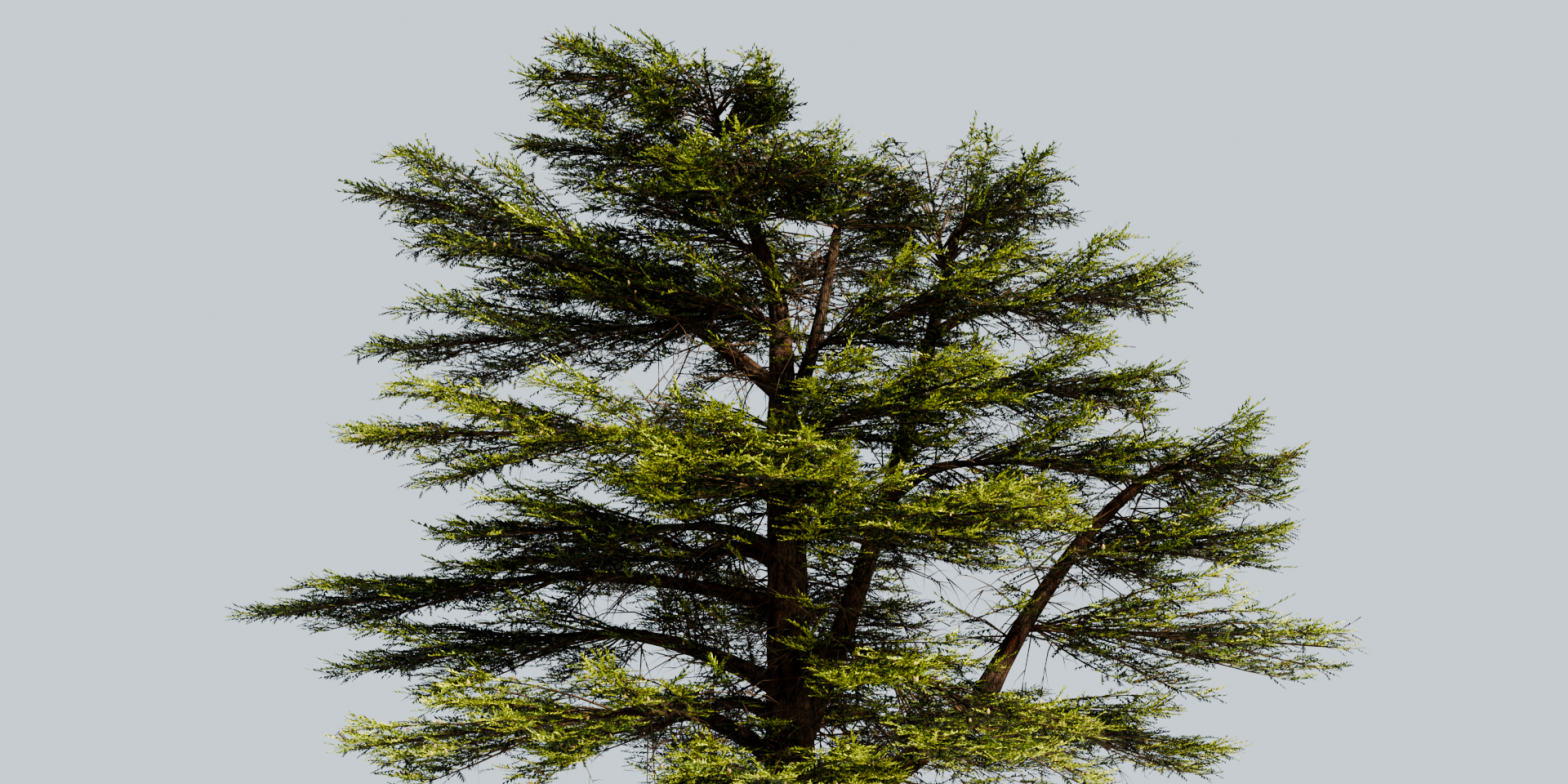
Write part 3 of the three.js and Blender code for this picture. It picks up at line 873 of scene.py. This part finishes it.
@dataclass
class BarkSkin:
    """The bark of one limb, with ridges and fissures in its mesh.

    On the real tree a ridge is 40 to 80 mm wide. Ridges are drawn up to twice as wide, so that they show.
    """

    limb: Limb
    ridge_width: float
    ridge_depth: float
    ring_gap: float
    seed: int
    ridge_length: float = 0.55
    closed_foot: bool = False
    girth_at: float = 0.15
    fewest_sides: int = 20
    most_sides: int = 132
    deepest: float = 0.12
    mean_relief: float = 0.6
    sway: float = 0.12
    sway_length: float = 1.3
    sway_cells: int = 5
    relief_shares: tuple[float, float, float] = (0.55, 0.3, 0.25)

    def ridges(self) -> float:
        """Ridges that fit round the limb."""
        return 2 * math.pi * float(self.limb.radius(self.girth_at)) / self.ridge_width

    def sides(self) -> int:
        """Mesh sides, a quarter of a ridge apart where the limb is thick."""
        return int(np.clip(self.ridges() * 4, self.fewest_sides, self.most_sides))

    def relief(self, turn: Array, along: Array) -> Array:
        """Height of the bark, from 0 in a fissure to 1 on a ridge.

        Args:
            turn: Share of a turn round the limb.
            along: Distance along the limb.

        Returns:
            The height at each place.
        """
        cells = max(int(self.ridges() / 1.6), 4)
        count = self.sway_cells
        sway = lattice_noise(turn * count, along / self.sway_length, count, self.seed + 3) - 0.5
        round_place = (turn + sway * self.sway) % 1.0 * cells
        wander = lattice_noise(round_place, along / self.ridge_length, cells, self.seed)
        finer = lattice_noise(round_place * 2, along / self.ridge_length * 1.7, cells * 2, self.seed + 1)
        plates = lattice_noise(round_place, along / self.ridge_length * 3.1, cells, self.seed + 2)
        wide = np.clip(np.abs(2 * wander - 1) * 3.0, 0, 1)
        fine = np.clip(np.abs(2 * finer - 1) * 2.4, 0, 1)
        shares = self.relief_shares
        return np.clip(shares[0] * wide + shares[1] * fine + shares[2] * plates, 0, 1)

    def build(self, name: str) -> Piece:
        """Makes the mesh with its relief stored on the vertices.

        Args:
            name: Name of the piece.

        Returns:
            The piece.
        """
        limb, sides = self.limb, self.sides()
        rings = max(int(limb.length / self.ring_gap), 8)
        share = np.linspace(0, 1, rings + 1)[:, None]
        turn = np.arange(sides)[None, :] / sides
        relief = self.relief(turn, share * limb.length)
        ahead = limb.tangent(share[:, 0])
        other = unit(np.cross(limb.side, ahead))
        sideways = np.cross(ahead, other)
        angle = turn * 2 * np.pi
        radius = limb.radius(share) * limb.lobe(share, angle)
        depth = np.minimum(self.ridge_depth, self.deepest * limb.radius(share))
        radius = radius + depth * (relief - self.mean_relief)
        out = np.cos(angle)[..., None] * sideways[:, None] + np.sin(angle)[..., None] * other[:, None]
        rows = limb.point(share[:, 0])[:, None] + radius[..., None] * out
        if self.closed_foot:
            rows[0, :, 2] = 0
        ends = np.array([limb.point(0.0), limb.point(1.0) + ahead[-1] * float(limb.radius(1.0)) * 0.5])
        vertices = np.concatenate([rows.reshape(-1, 3), ends])
        foot = fan_faces(0, sides, len(vertices) - 2)[:, [1, 0, 2]]
        tip = fan_faces(rings * sides, sides, len(vertices) - 1)
        triangles = np.concatenate([wall_faces(rings, sides), foot, tip])
        return triangle_mesh(name, vertices, triangles, True, np.concatenate([relief.ravel(), [0.5, 0.5]]))


@dataclass
class WoodyFrame:
    """The trunk and the boughs in their bark."""

    skeleton: Skeleton
    bark: Material
    stout_radius: float = 0.2
    stout_ridge: float = 0.1
    slim_ridge: float = 0.085
    first_seed: int = 23

    def build(self) -> None:
        """Covers the trunk and each bough with a skin of ridged bark."""
        for index, (name, limb) in enumerate(self.skeleton.limbs.items()):
            if name == "trunk":
                skin = BarkSkin(
                    limb, ridge_width=0.14, ridge_depth=0.05, ring_gap=0.1, seed=11, closed_foot=True
                )
            else:
                width = self.stout_ridge if limb.root_radius > self.stout_radius else self.slim_ridge
                skin = BarkSkin(limb, width, ridge_depth=0.024, ring_gap=0.13, seed=self.first_seed + index)
            piece = skin.build(f"bark_{name}")
            dress(piece, self.bark, [name])


@dataclass
class Sprays:
    """Many sprays: their starts, directions, lengths, relative widths, rolls in degrees and tints."""

    base: Array
    ahead: Array
    length: Array
    width: Array
    roll: Array
    tint: Array

    def only(self, chosen: Array) -> "Sprays":
        """The sprays that a mask chooses."""
        return Sprays(*(getattr(self, part.name)[chosen] for part in fields(self)))


@dataclass
class SprayShape:
    """A spray: a shoot with a comb of pointed teeth to each side, each tooth a tuft, folded up a little.

    A real tuft is 40 to 60 mm across. A tooth is up to twice that, as far as the count of sprays needs.
    The outline holds the relative width of a spray at its foot, near its middle and at its end.
    """

    teeth: int = 5
    fold: float = 62.0
    reach: float = 0.18
    bow: float = 0.05
    shoot_end: float = 0.95
    outline: tuple[float, float, float] = (0.85, 1.05, 0.55)
    uneven: Range = (0.6, 1.35)
    forward: Range = (0.08, 0.26)

    def arrays(self, sprays: Sprays, rng: Random) -> Faces:
        """Builds the faces of many sprays at once.

        Args:
            sprays: The sprays.
            rng: Seeded random numbers.

        Returns:
            Vertices and triangles.
        """
        count = len(sprays.length)
        length = sprays.length[:, None, None]
        ahead = sprays.ahead[:, None, :]
        side = unit(np.cross(sprays.ahead, UP))
        up = np.cross(side, sprays.ahead)
        roll = np.radians(sprays.roll)[:, None]
        side, up = side * np.cos(roll) + up * np.sin(roll), up * np.cos(roll) - side * np.sin(roll)
        share = np.linspace(0, self.shoot_end, self.teeth + 1)[None, :, None]
        bow = rng.normal(0.0, self.bow, (count, 1, 1))
        line = sprays.base[:, None, :] + ahead * length * share + up[:, None, :] * length * bow * share**2
        middle = (line[:, :-1] + line[:, 1:]) / 2
        slim = np.interp(np.linspace(0.1, 0.9, self.teeth), [0.0, 0.4, 1.0], self.outline)[:, None]
        tooth = np.arange(self.teeth)
        points, faces = [line], []
        for number, turn in enumerate((-self.fold, self.fold)):
            angle = math.radians(turn)
            out = (math.cos(angle) * up + math.sin(angle) * side)[:, None, :]
            uneven = rng.uniform(*self.uneven, (count, self.teeth, 1))
            grown = self.reach * sprays.width[:, None, None] * slim * uneven
            forward = rng.uniform(*self.forward, (count, self.teeth, 1))
            points.append(middle + length * (grown * out + forward * ahead))
            faces.append(np.stack([tooth, tooth + 1, (number + 1) * self.teeth + 1 + tooth], axis=-1))
        return repeat_faces(np.concatenate(faces), np.concatenate(points, axis=1))


@dataclass
class Growth:
    """What grows in one zone of the crown, with the zone's light painted into its tints, its share of cones
    and its density.
    """

    light: float
    cone_share: float
    spray_gap: float
    nodes: list[str] = field(default_factory=list)
    stems: Tubes = field(default_factory=list)
    twigs: Tubes = field(default_factory=list)
    side_twigs: Tubes = field(default_factory=list)
    dead: Tubes = field(default_factory=list)
    sprays: list[Sprays] = field(default_factory=list)
    cones: list[Array] = field(default_factory=list)


@dataclass
class Plot:
    """Where a mass or a limb grows: the space it keeps to, seeded random numbers and its zone's growth."""

    space: Space
    rng: Random
    into: Growth


def hands(count: int) -> Array:
    """1 and -1 in turn, for the two sides of a twig."""
    return 1.0 - 2.0 * (np.arange(count) % 2)


def turned(level: Array, angle: Array) -> Array:
    """Level directions, each turned about the vertical by its angle in radians."""
    return level * np.cos(angle)[:, None] + np.cross(UP, level) * np.sin(angle)[:, None]


def uneven_steps(part: Range, count: int, shift: Range, rng: Random) -> Array:
    """Shares in even steps from the first share of a part over its length, each shifted within its step."""
    return part[0] + part[1] * (np.arange(count) + rng.uniform(*shift, count)) / count


@dataclass
class FoliageRule:
    """Carries the source's rule on: side twigs and sprays from each twig, level and inside its space.

    A part is a first share and a length. An angle or a lift is a mean and its spread, except that the angle
    of side twigs goes from the first to the second along a twig. Other pairs are a least and a most value.
    limb_space is how far the space of a limb reaches past its ends, to its sides and above it.
    """

    skeleton: Skeleton
    stem_tip_radius: float = 0.016
    leading_twig: tuple[float, float, float] = (0.45, 0.72, 1.0)
    step_shift: Range = (0.2, 0.8)
    twig_points: int = 5
    twig_radius: float = 0.034
    twig_taper: float = 0.026
    side_twig_part: Range = (0.24, 0.74)
    side_twig_gap: float = 0.25
    side_twig_count: tuple[int, int] = (4, 14)
    side_twig_length: float = 1.0
    side_twig_angle: Range = (62.0, 36.0)
    side_twig_radius: float = 0.012
    least_side_twig: float = 0.18
    spray_length: float = 0.45
    spray_angle: Range = (48.0, 10.0)
    spray_lift: Range = (0.04, 0.09)
    lowest_spray: float = 0.3
    under_share: float = 0.3
    under_reach: float = 0.1
    edge: float = 1.07
    shoots: int = 5
    shoot_length: Range = (0.4, 0.95)
    shoot_width: float = 0.6
    shoot_reach: float = 0.13
    # A spray's light score past these steps gives it a lighter tint, as painted light and shade.
    light_steps: tuple[float, float, float] = (0.24, 0.42, 0.56)
    light_spread: float = 0.12
    bronzed_share: float = 0.03
    bare_share: float = 0.4
    bare_length: float = 1.3
    bare_twiglets: int = 3
    limb_part: Range = (0.13, 0.85)
    limb_twig_gap: float = 0.17
    limb_twig_length: Range = (0.8, 1.9)
    limb_space: tuple[float, float, float] = (1.2, 2.3, 1.35)
    limb_bare_count: int = 2
    limb_bare_length: float = 2.6
    bark_gap: float = 0.08

    def grow_mass(self, mass: Mass, into: Growth) -> None:
        """Grows one mass.

        Args:
            mass: The mass, with its space and its twigs.
            into: The zone's growth, which takes what grows.
        """
        plot = Plot(mass.space, np.random.default_rng(mass.seed), into)
        shares = np.linspace(0, 1, 15)
        thick = mass.stem_radius + (self.stem_tip_radius - mass.stem_radius) * shares**0.8
        into.stems.append((mass.stem.point(shares), thick))
        leading = Bend(*(mass.stem.point(share) for share in self.leading_twig))
        for twig in [*mass.twigs(), leading]:
            self.dress_twig(twig, plot)
            if plot.rng.random() < self.bare_share:
                self.add_bare(twig, plot, self.bare_length)

    def grow_limb(self, limb: Limb, seed: int, into: Growth) -> None:
        """Grows short leafy twigs and bare branches all round a limb, which carries more than its mass.

        Args:
            limb: The limb.
            seed: Number of its pattern.
            into: The zone's growth.
        """
        rng = np.random.default_rng(seed)
        count = max(int(limb.length * self.limb_part[1] / self.limb_twig_gap), 2)
        chord = unit(limb.chord)
        past, wide, tall = self.limb_space
        half = np.array([limb.length / 2 + past, wide, tall * (1 + 0.9 * abs(chord[2]))])
        axes = np.array([chord, limb.side, np.cross(chord, limb.side)])
        plot = Plot(Space(limb.point(0.5), axes, half), rng, into)
        for share in uneven_steps(self.limb_part, count, self.step_shift, rng):
            foot, ahead, radius = limb.point(share), limb.tangent(share), float(limb.radius(share))
            turn = rng.uniform(0, 2 * np.pi)
            out = limb.side * math.cos(turn) + np.cross(limb.side, ahead) * math.sin(turn)
            way = unit(out * [1, 1, 0.6] + ahead * [0.4, 0.4, 0.1])
            end = foot + way * (radius + rng.uniform(*self.limb_twig_length))
            twig = Bend(foot, (foot + end) / 2 + UP * rng.uniform(0.05, 0.2), end)
            if rng.random() < limb.leafy_share:
                self.dress_twig(twig, plot)
            for _ in range(self.limb_bare_count):
                self.add_bare(twig, plot, self.limb_bare_length)

    def dress_twig(self, twig: Bend, plot: Plot) -> None:
        """Grows side twigs, sprays, shoots and cones on one twig.

        Args:
            twig: The twig.
            plot: Where it grows.
        """
        space, rng = plot.space, plot.rng
        shares = np.linspace(0, 1, self.twig_points)
        plot.into.twigs.append((twig.point(shares), self.twig_radius - self.twig_taper * shares))
        count = int(np.clip(twig.length * 0.78 / self.side_twig_gap, *self.side_twig_count))
        share = uneven_steps(self.side_twig_part, count, self.step_shift, rng)
        foot = twig.point(share)
        level = unit(twig.tangent(share) * [1, 1, 0] + unit(twig.end - twig.foot) * [1e-3, 1e-3, 0])
        first, last = self.side_twig_angle
        angle = np.radians(first + (last - first) * share + rng.normal(0, 7, count))
        way = turned(level, angle * hands(count))
        length = self.side_twig_length * (1.0 - 0.42 * share) * rng.uniform(0.7, 1.2, count)
        length = np.minimum(length, 0.6 * twig.length)
        way = unit(way + UP * rng.normal(0.0, 0.12, (count, 1)))
        for _ in range(4):
            outside = space.depth(foot + way * length[:, None]) > self.edge - 0.03
            length = np.where(outside, length * 0.75, length)
        keep = (space.depth(foot + way * length[:, None]) < self.edge) & (length > self.least_side_twig)
        keep &= self.skeleton.clear_of_limbs(foot + way * length[:, None] * 0.6, self.bark_gap)
        foot, way, length, share = foot[keep], way[keep], length[keep], share[keep]
        for place, direction, span, out in zip(foot, way, length, share):
            side_twig = Bend(place, place + direction * span / 2 + UP * span * 0.1, place + direction * span)
            radii = np.array([self.side_twig_radius, 0.0])
            plot.into.side_twigs.append((side_twig.point([0.0, 1.0]), radii))
            self.add_sprays(side_twig, out, plot)
        ends = twig.point([0.6, 0.84, 1.0])
        self.add_sprays(Bend(ends[0], 2 * ends[1] - (ends[0] + ends[2]) / 2, ends[2]), 1.0, plot)
        self.add_shoots(twig, plot)

    def tints(self, light: Array, rng: Random) -> Array:
        """Deals tints out by how much light a spray gets, as painted light and shade, with a few bronzed
        ones.

        Args:
            light: Share of the light, from 0 deep inside to 1 at the top edge.
            rng: Seeded random numbers.

        Returns:
            The number of each tint.
        """
        tint = len(self.light_steps) - np.digitize(light, self.light_steps)
        return np.where(rng.random(len(light)) < self.bronzed_share, len(Tint) - 1, tint)

    def add_sprays(self, side_twig: Bend, out: float, plot: Plot) -> None:
        """Grows sprays along both sides of one side twig, with some hanging beneath it.

        Args:
            side_twig: The side twig.
            out: How far out on its twig it stands, from 0 to 1.
            plot: Where it grows.
        """
        space, rng, into = plot.space, plot.rng, plot.into
        count = max(int(side_twig.length / into.spray_gap), 2)
        share = uneven_steps((0.0, 1.0), count, (0.3, 0.9), rng)
        base, level = side_twig.point(share), unit(side_twig.tangent(share) * [1, 1, 0.3])
        angle = np.radians(rng.normal(*self.spray_angle, count) * (1 - 0.35 * share))
        ahead = turned(level, angle * hands(count))
        ahead[-1] = level[-1]
        depth = space.depth(base)
        under = rng.random(count) < self.under_share
        lift = rng.normal(*self.spray_lift, count) + 0.3 * np.clip(depth - 0.8, 0, 0.3)
        lift -= under * rng.uniform(0.1, 0.7, count)
        ahead = unit(ahead + UP * lift[:, None])
        length = self.spray_length * (1.08 - 0.35 * share) * rng.uniform(0.75, 1.25, count)
        # Painted light: sprays on the outer edge, high in the space and far out on a twig get lighter tints;
        # hanging sprays beneath get darker tints as painted shade.
        light = 0.42 * np.clip(depth, 0, 1.1) + 0.26 * space.height(base) + 0.2 * out
        tint = self.tints(light + into.light + rng.normal(0, self.light_spread, count) - 0.4 * under, rng)
        roll = rng.normal(0, 18, count) + np.where(under, 180.0, 0.0)
        keep = space.depth(base + ahead * length[:, None]) < self.edge + self.under_reach * under
        keep &= base[:, 2] > self.lowest_spray
        into.sprays.append(Sprays(base, ahead, length, np.ones(count), roll, tint).only(keep))
        if rng.random() < into.cone_share:
            into.cones.append(base[count // 2] + UP * 0.005)

    def add_shoots(self, twig: Bend, plot: Plot) -> None:
        """Lets single slim shoots stand out past the end of a twig and up from its outer part.

        Args:
            twig: The twig.
            plot: Where it grows.
        """
        space, rng, count = plot.space, plot.rng, self.shoots
        base = twig.point(rng.uniform(0.72, 1.0, count))
        level = unit((twig.end - twig.foot) * [1, 1, 0] + [1e-4, 0, 0])
        ahead = turned(level, np.radians(rng.normal(0, 28, count)))
        rise = rng.uniform(0.1, 0.5, count) + 0.5 * np.clip(space.height(base), -0.3, 1)
        ahead = unit(ahead + UP * rise[:, None])
        length = rng.uniform(*self.shoot_length, count)
        # Painted light: the upstanding shoots get lighter tints, more so high in the space.
        light = 0.5 + 0.2 * space.height(base) + plot.into.light + rng.normal(0, self.light_spread, count)
        roll = rng.normal(0, 25, count)
        keep = space.depth(base + ahead * length[:, None]) < self.edge + self.shoot_reach
        shoots = Sprays(base, ahead, length, np.full(count, self.shoot_width), roll, self.tints(light, rng))
        plot.into.sprays.append(shoots.only(keep))

    def add_bare(self, twig: Bend, plot: Plot, longest: float) -> None:
        """Lets a bare branch with its twiglets stand or hang from the inner part of a twig.

        Args:
            twig: The twig.
            plot: Where it grows.
            longest: Length of the longest branch.
        """
        rng = plot.rng
        foot = twig.point(rng.uniform(0.1, 0.6))
        turn = rng.uniform(0, 2 * np.pi)
        out = np.array([math.cos(turn), math.sin(turn), rng.uniform(-1.1, 0.1)]) + unit(twig.end - twig.foot)
        span = rng.uniform(0.3, 1.0) * longest
        bow = np.array([0, 0, rng.uniform(-0.35, 0.1)]) * span
        branch = Bend(foot, foot + unit(out) * span * 0.5 - bow, foot + unit(out) * span)
        thick = (0.009 + 0.008 * span) * np.array([1.0, 0.75, 0.45, 0.0])
        plot.into.dead.append((branch.point(np.linspace(0, 1, 4)), thick))
        for share in rng.uniform(0.3, 0.9, self.bare_twiglets):
            start = branch.point(share)
            way = unit(branch.tangent(share) + rng.normal(0, 0.6, 3))
            middle = start + way * span * 0.2
            end = middle + unit(way + [0, 0, -0.5]) * span * 0.2
            plot.into.dead.append((np.stack([start, (start + middle) / 2, middle, end]), thick * 0.6))


@dataclass
class ConeShape:
    """A barrel-shaped cone that stands on its twig, 90 to 130 mm tall, with its scales in rings."""

    sides: int = 7
    height: float = 0.105
    radius: float = 0.032
    profile: tuple[float, ...] = (0.5, 0.95, 1.0, 0.9, 0.55)
    sizes: Range = (0.85, 1.25)
    tilt: float = 0.12

    def arrays(self, feet: Array, rng: Random) -> Faces:
        """Builds all cones.

        Args:
            feet: Where the cones stand.
            rng: Seeded random numbers.

        Returns:
            Vertices and triangles.
        """
        count, rings = len(feet), len(self.profile) + 1
        size = rng.uniform(*self.sizes, (count, 1))
        tilt = rng.normal(0, self.tilt, (count, 1, 2))
        rise = np.linspace(0, 1, rings)[None, :]
        paths = np.zeros((count, rings, 3))
        paths[..., 2] = rise * self.height * size
        paths[..., :2] = tilt * paths[..., 2:]
        radii = np.array([*self.profile, 0.0])[None, :] * self.radius * size
        return tubes(paths + feet[:, None, :], radii, self.sides)


@dataclass
class Crown:
    """The whole crown: stems, twigs, needles and cones, joined by kind and zone."""

    skeleton: Skeleton
    bark: Material
    spray_shape: SprayShape = field(default_factory=SprayShape)
    cone_shape: ConeShape = field(default_factory=ConeShape)
    limb_seed: int = 900
    zone_seed: int = 700
    stem_sides: int = 10
    twig_sides: int = 3
    stem_relief: float = 0.62
    bark_gap: float = 0.02

    def grow(self) -> dict[Zone, Growth]:
        """Grows every mass, and then the twigs of the limbs that carry them."""
        rule = FoliageRule(self.skeleton)
        # Each zone's light shifts its tints as painted light: lighter on the front, which faces the key
        # light, darker on the left and the back as painted shade.
        zones = {
            Zone.TOP: Growth(light=-0.02, cone_share=0.02, spray_gap=0.16),
            Zone.LEFT: Growth(light=-0.07, cone_share=0.04, spray_gap=0.14),
            Zone.RIGHT: Growth(light=0.03, cone_share=0.02, spray_gap=0.14),
            Zone.FRONT: Growth(light=0.14, cone_share=0.1, spray_gap=0.112),
            Zone.BACK: Growth(light=-0.04, cone_share=0.03, spray_gap=0.185),
        }
        for mass in self.skeleton.masses:
            growth = zones[mass.plan.zone]
            growth.nodes.append(f"foliage_{mass.name}")
            rule.grow_mass(mass, growth)
        carried = {mass.plan.parent: mass.plan.zone for mass in self.skeleton.masses}
        for number, (name, limb) in enumerate(self.skeleton.limbs.items()):
            if name in carried:
                rule.grow_limb(limb, self.limb_seed + number, zones[carried[name]])
        return zones

    def build(self) -> None:
        """Makes the joined pieces of each zone."""
        finishes = {tint: NEEDLES[tint].material() for tint in Tint}
        twig_bark, dead_bark, scales = TWIG_BARK.material(), DEAD_BARK.material(), CONE_SCALES.material()
        for number, (zone, growth) in enumerate(self.grow().items()):
            rng = np.random.default_rng(self.zone_seed + number)
            name, twigs = zone.value, [growth.twigs, growth.side_twigs]
            self.woody_piece(f"stems_{name}", growth, [growth.stems], self.stem_sides, self.bark)
            self.woody_piece(f"twigs_{name}", growth, twigs, self.twig_sides, twig_bark)
            self.woody_piece(f"dead_twiglets_{name}", growth, [growth.dead], self.twig_sides, dead_bark)
            if growth.cones:
                vertices, triangles = self.cone_shape.arrays(np.array(growth.cones), rng)
                piece = triangle_mesh(f"cones_{name}", vertices, triangles, False)
                dress(piece, scales, growth.nodes)
            self.needle_pieces(zone, growth, finishes, rng)

    def woody_piece(self, name: str, growth: Growth, groups: list[Tubes], sides: int, bark: Material) -> None:
        """Makes one joined piece of stems or twigs.

        Args:
            name: Name of the piece.
            growth: The zone's growth.
            groups: Paths and radii, with the same number of points all through a group.
            sides: Sides of each tube.
            bark: The finish.
        """
        parts = [tubes(*(np.array(column) for column in zip(*rows)), sides) for rows in groups]
        starts = np.cumsum([0, *(len(vertices) for vertices, _ in parts)])
        vertices = np.concatenate([vertices for vertices, _ in parts])
        triangles = np.concatenate([faces + start for (_, faces), start in zip(parts, starts)])
        piece = triangle_mesh(name, vertices, triangles, True, np.full(len(vertices), self.stem_relief))
        dress(piece, bark, growth.nodes)

    def needle_pieces(self, zone: Zone, growth: Growth, finishes: dict[Tint, Material], rng: Random) -> None:
        """Deals the sprays of a zone out by tint and joins each tint.

        Args:
            zone: The zone.
            growth: What grows there.
            finishes: The finish of each tint.
            rng: Seeded random numbers.
        """
        rows = growth.sprays
        columns = [[getattr(row, part.name) for row in rows] for part in fields(Sprays)]
        every = Sprays(*(np.concatenate(column) for column in columns))
        every = every.only(self.skeleton.clear_of_limbs(every.base, self.bark_gap))
        for number, tint in enumerate(Tint):
            vertices, triangles = self.spray_shape.arrays(every.only(every.tint == number), rng)
            piece = triangle_mesh(f"needles_{tint.value}_{zone.value}", vertices, triangles, False)
            dress(piece, finishes[tint], growth.nodes)


@dataclass
class Studio:
    """Camera at the photograph's viewing angle, soft light and a plain pale floor."""

    camera_place: tuple[float, float, float] = (-0.155, -44.0, 1.7)
    camera_pitch: float = 13.5
    lens: float = 42.0
    sensor_width: float = 36.0
    clip_end: float = 500.0
    floor_size: float = 400.0
    sky: str = "#dfecf6"
    sky_strength: float = 0.85

    def build(self) -> None:
        """Sets up the camera, the floor and the lights."""
        camera = bpy.data.objects.new("camera", bpy.data.cameras.new("camera"))
        camera.data.sensor_width = self.sensor_width
        camera.data.lens = self.lens
        camera.data.clip_end = self.clip_end
        camera.location = self.camera_place
        camera.rotation_euler = (math.radians(90 + self.camera_pitch), 0, 0)
        bpy.context.scene.collection.objects.link(camera)
        bpy.context.scene.camera = camera
        self.add_floor()
        self.add_sun("key_light", turn=(56, 0, 56), strength=14.0, colour="#ffecd0", spread=3)
        self.add_sun("fill_light", turn=(62, 0, -70), strength=0.6, colour="#dfe9ff", spread=40)
        world = bpy.data.worlds.new("studio")
        world.use_nodes = True
        background = world.node_tree.nodes["Background"]
        background.inputs["Color"].default_value = to_linear(self.sky)
        background.inputs["Strength"].default_value = self.sky_strength
        bpy.context.scene.world = world
        bpy.context.scene.view_settings.look = "AgX - High Contrast"

    def add_floor(self) -> None:
        """Lays the floor at ground level."""
        corners = self.floor_size / 2 * np.array([[-1, -1, 0], [1, -1, 0], [1, 1, 0], [-1, 1, 0]])
        floor = triangle_mesh("floor", corners, np.array([[0, 1, 2], [0, 2, 3]]), False)
        floor.data.materials.append(PaleGround().material())
        floor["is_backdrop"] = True

    def add_sun(
        self, name: str, turn: tuple[float, float, float], strength: float, colour: str, spread: float
    ) -> None:
        """Adds one soft, far light.

        Args:
            name: Name of the light.
            turn: Its rotation in degrees.
            strength: Its strength.
            colour: Its sRGB colour.
            spread: Its apparent size in degrees, which softens its shadows.
        """
        light = bpy.data.lights.new(name, "SUN")
        light.energy = strength
        light.color = to_linear(colour)[:3]
        light.angle = math.radians(spread)
        lamp = bpy.data.objects.new(name, light)
        lamp.rotation_euler = tuple(math.radians(angle) for angle in turn)
        bpy.context.scene.collection.objects.link(lamp)


def main() -> None:
    """Builds the tree and the studio in order."""
    logging.basicConfig(level=logging.INFO, format="%(message)s")
    skeleton = Skeleton()
    bark = BARK.material()
    WoodyFrame(skeleton, bark).build()
    Crown(skeleton, bark).build()
    Studio().build()
    total = sum(len(piece.data.polygons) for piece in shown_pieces())
    log.info("all pieces: %d triangles", total)


if __name__ == "__main__":
    main()
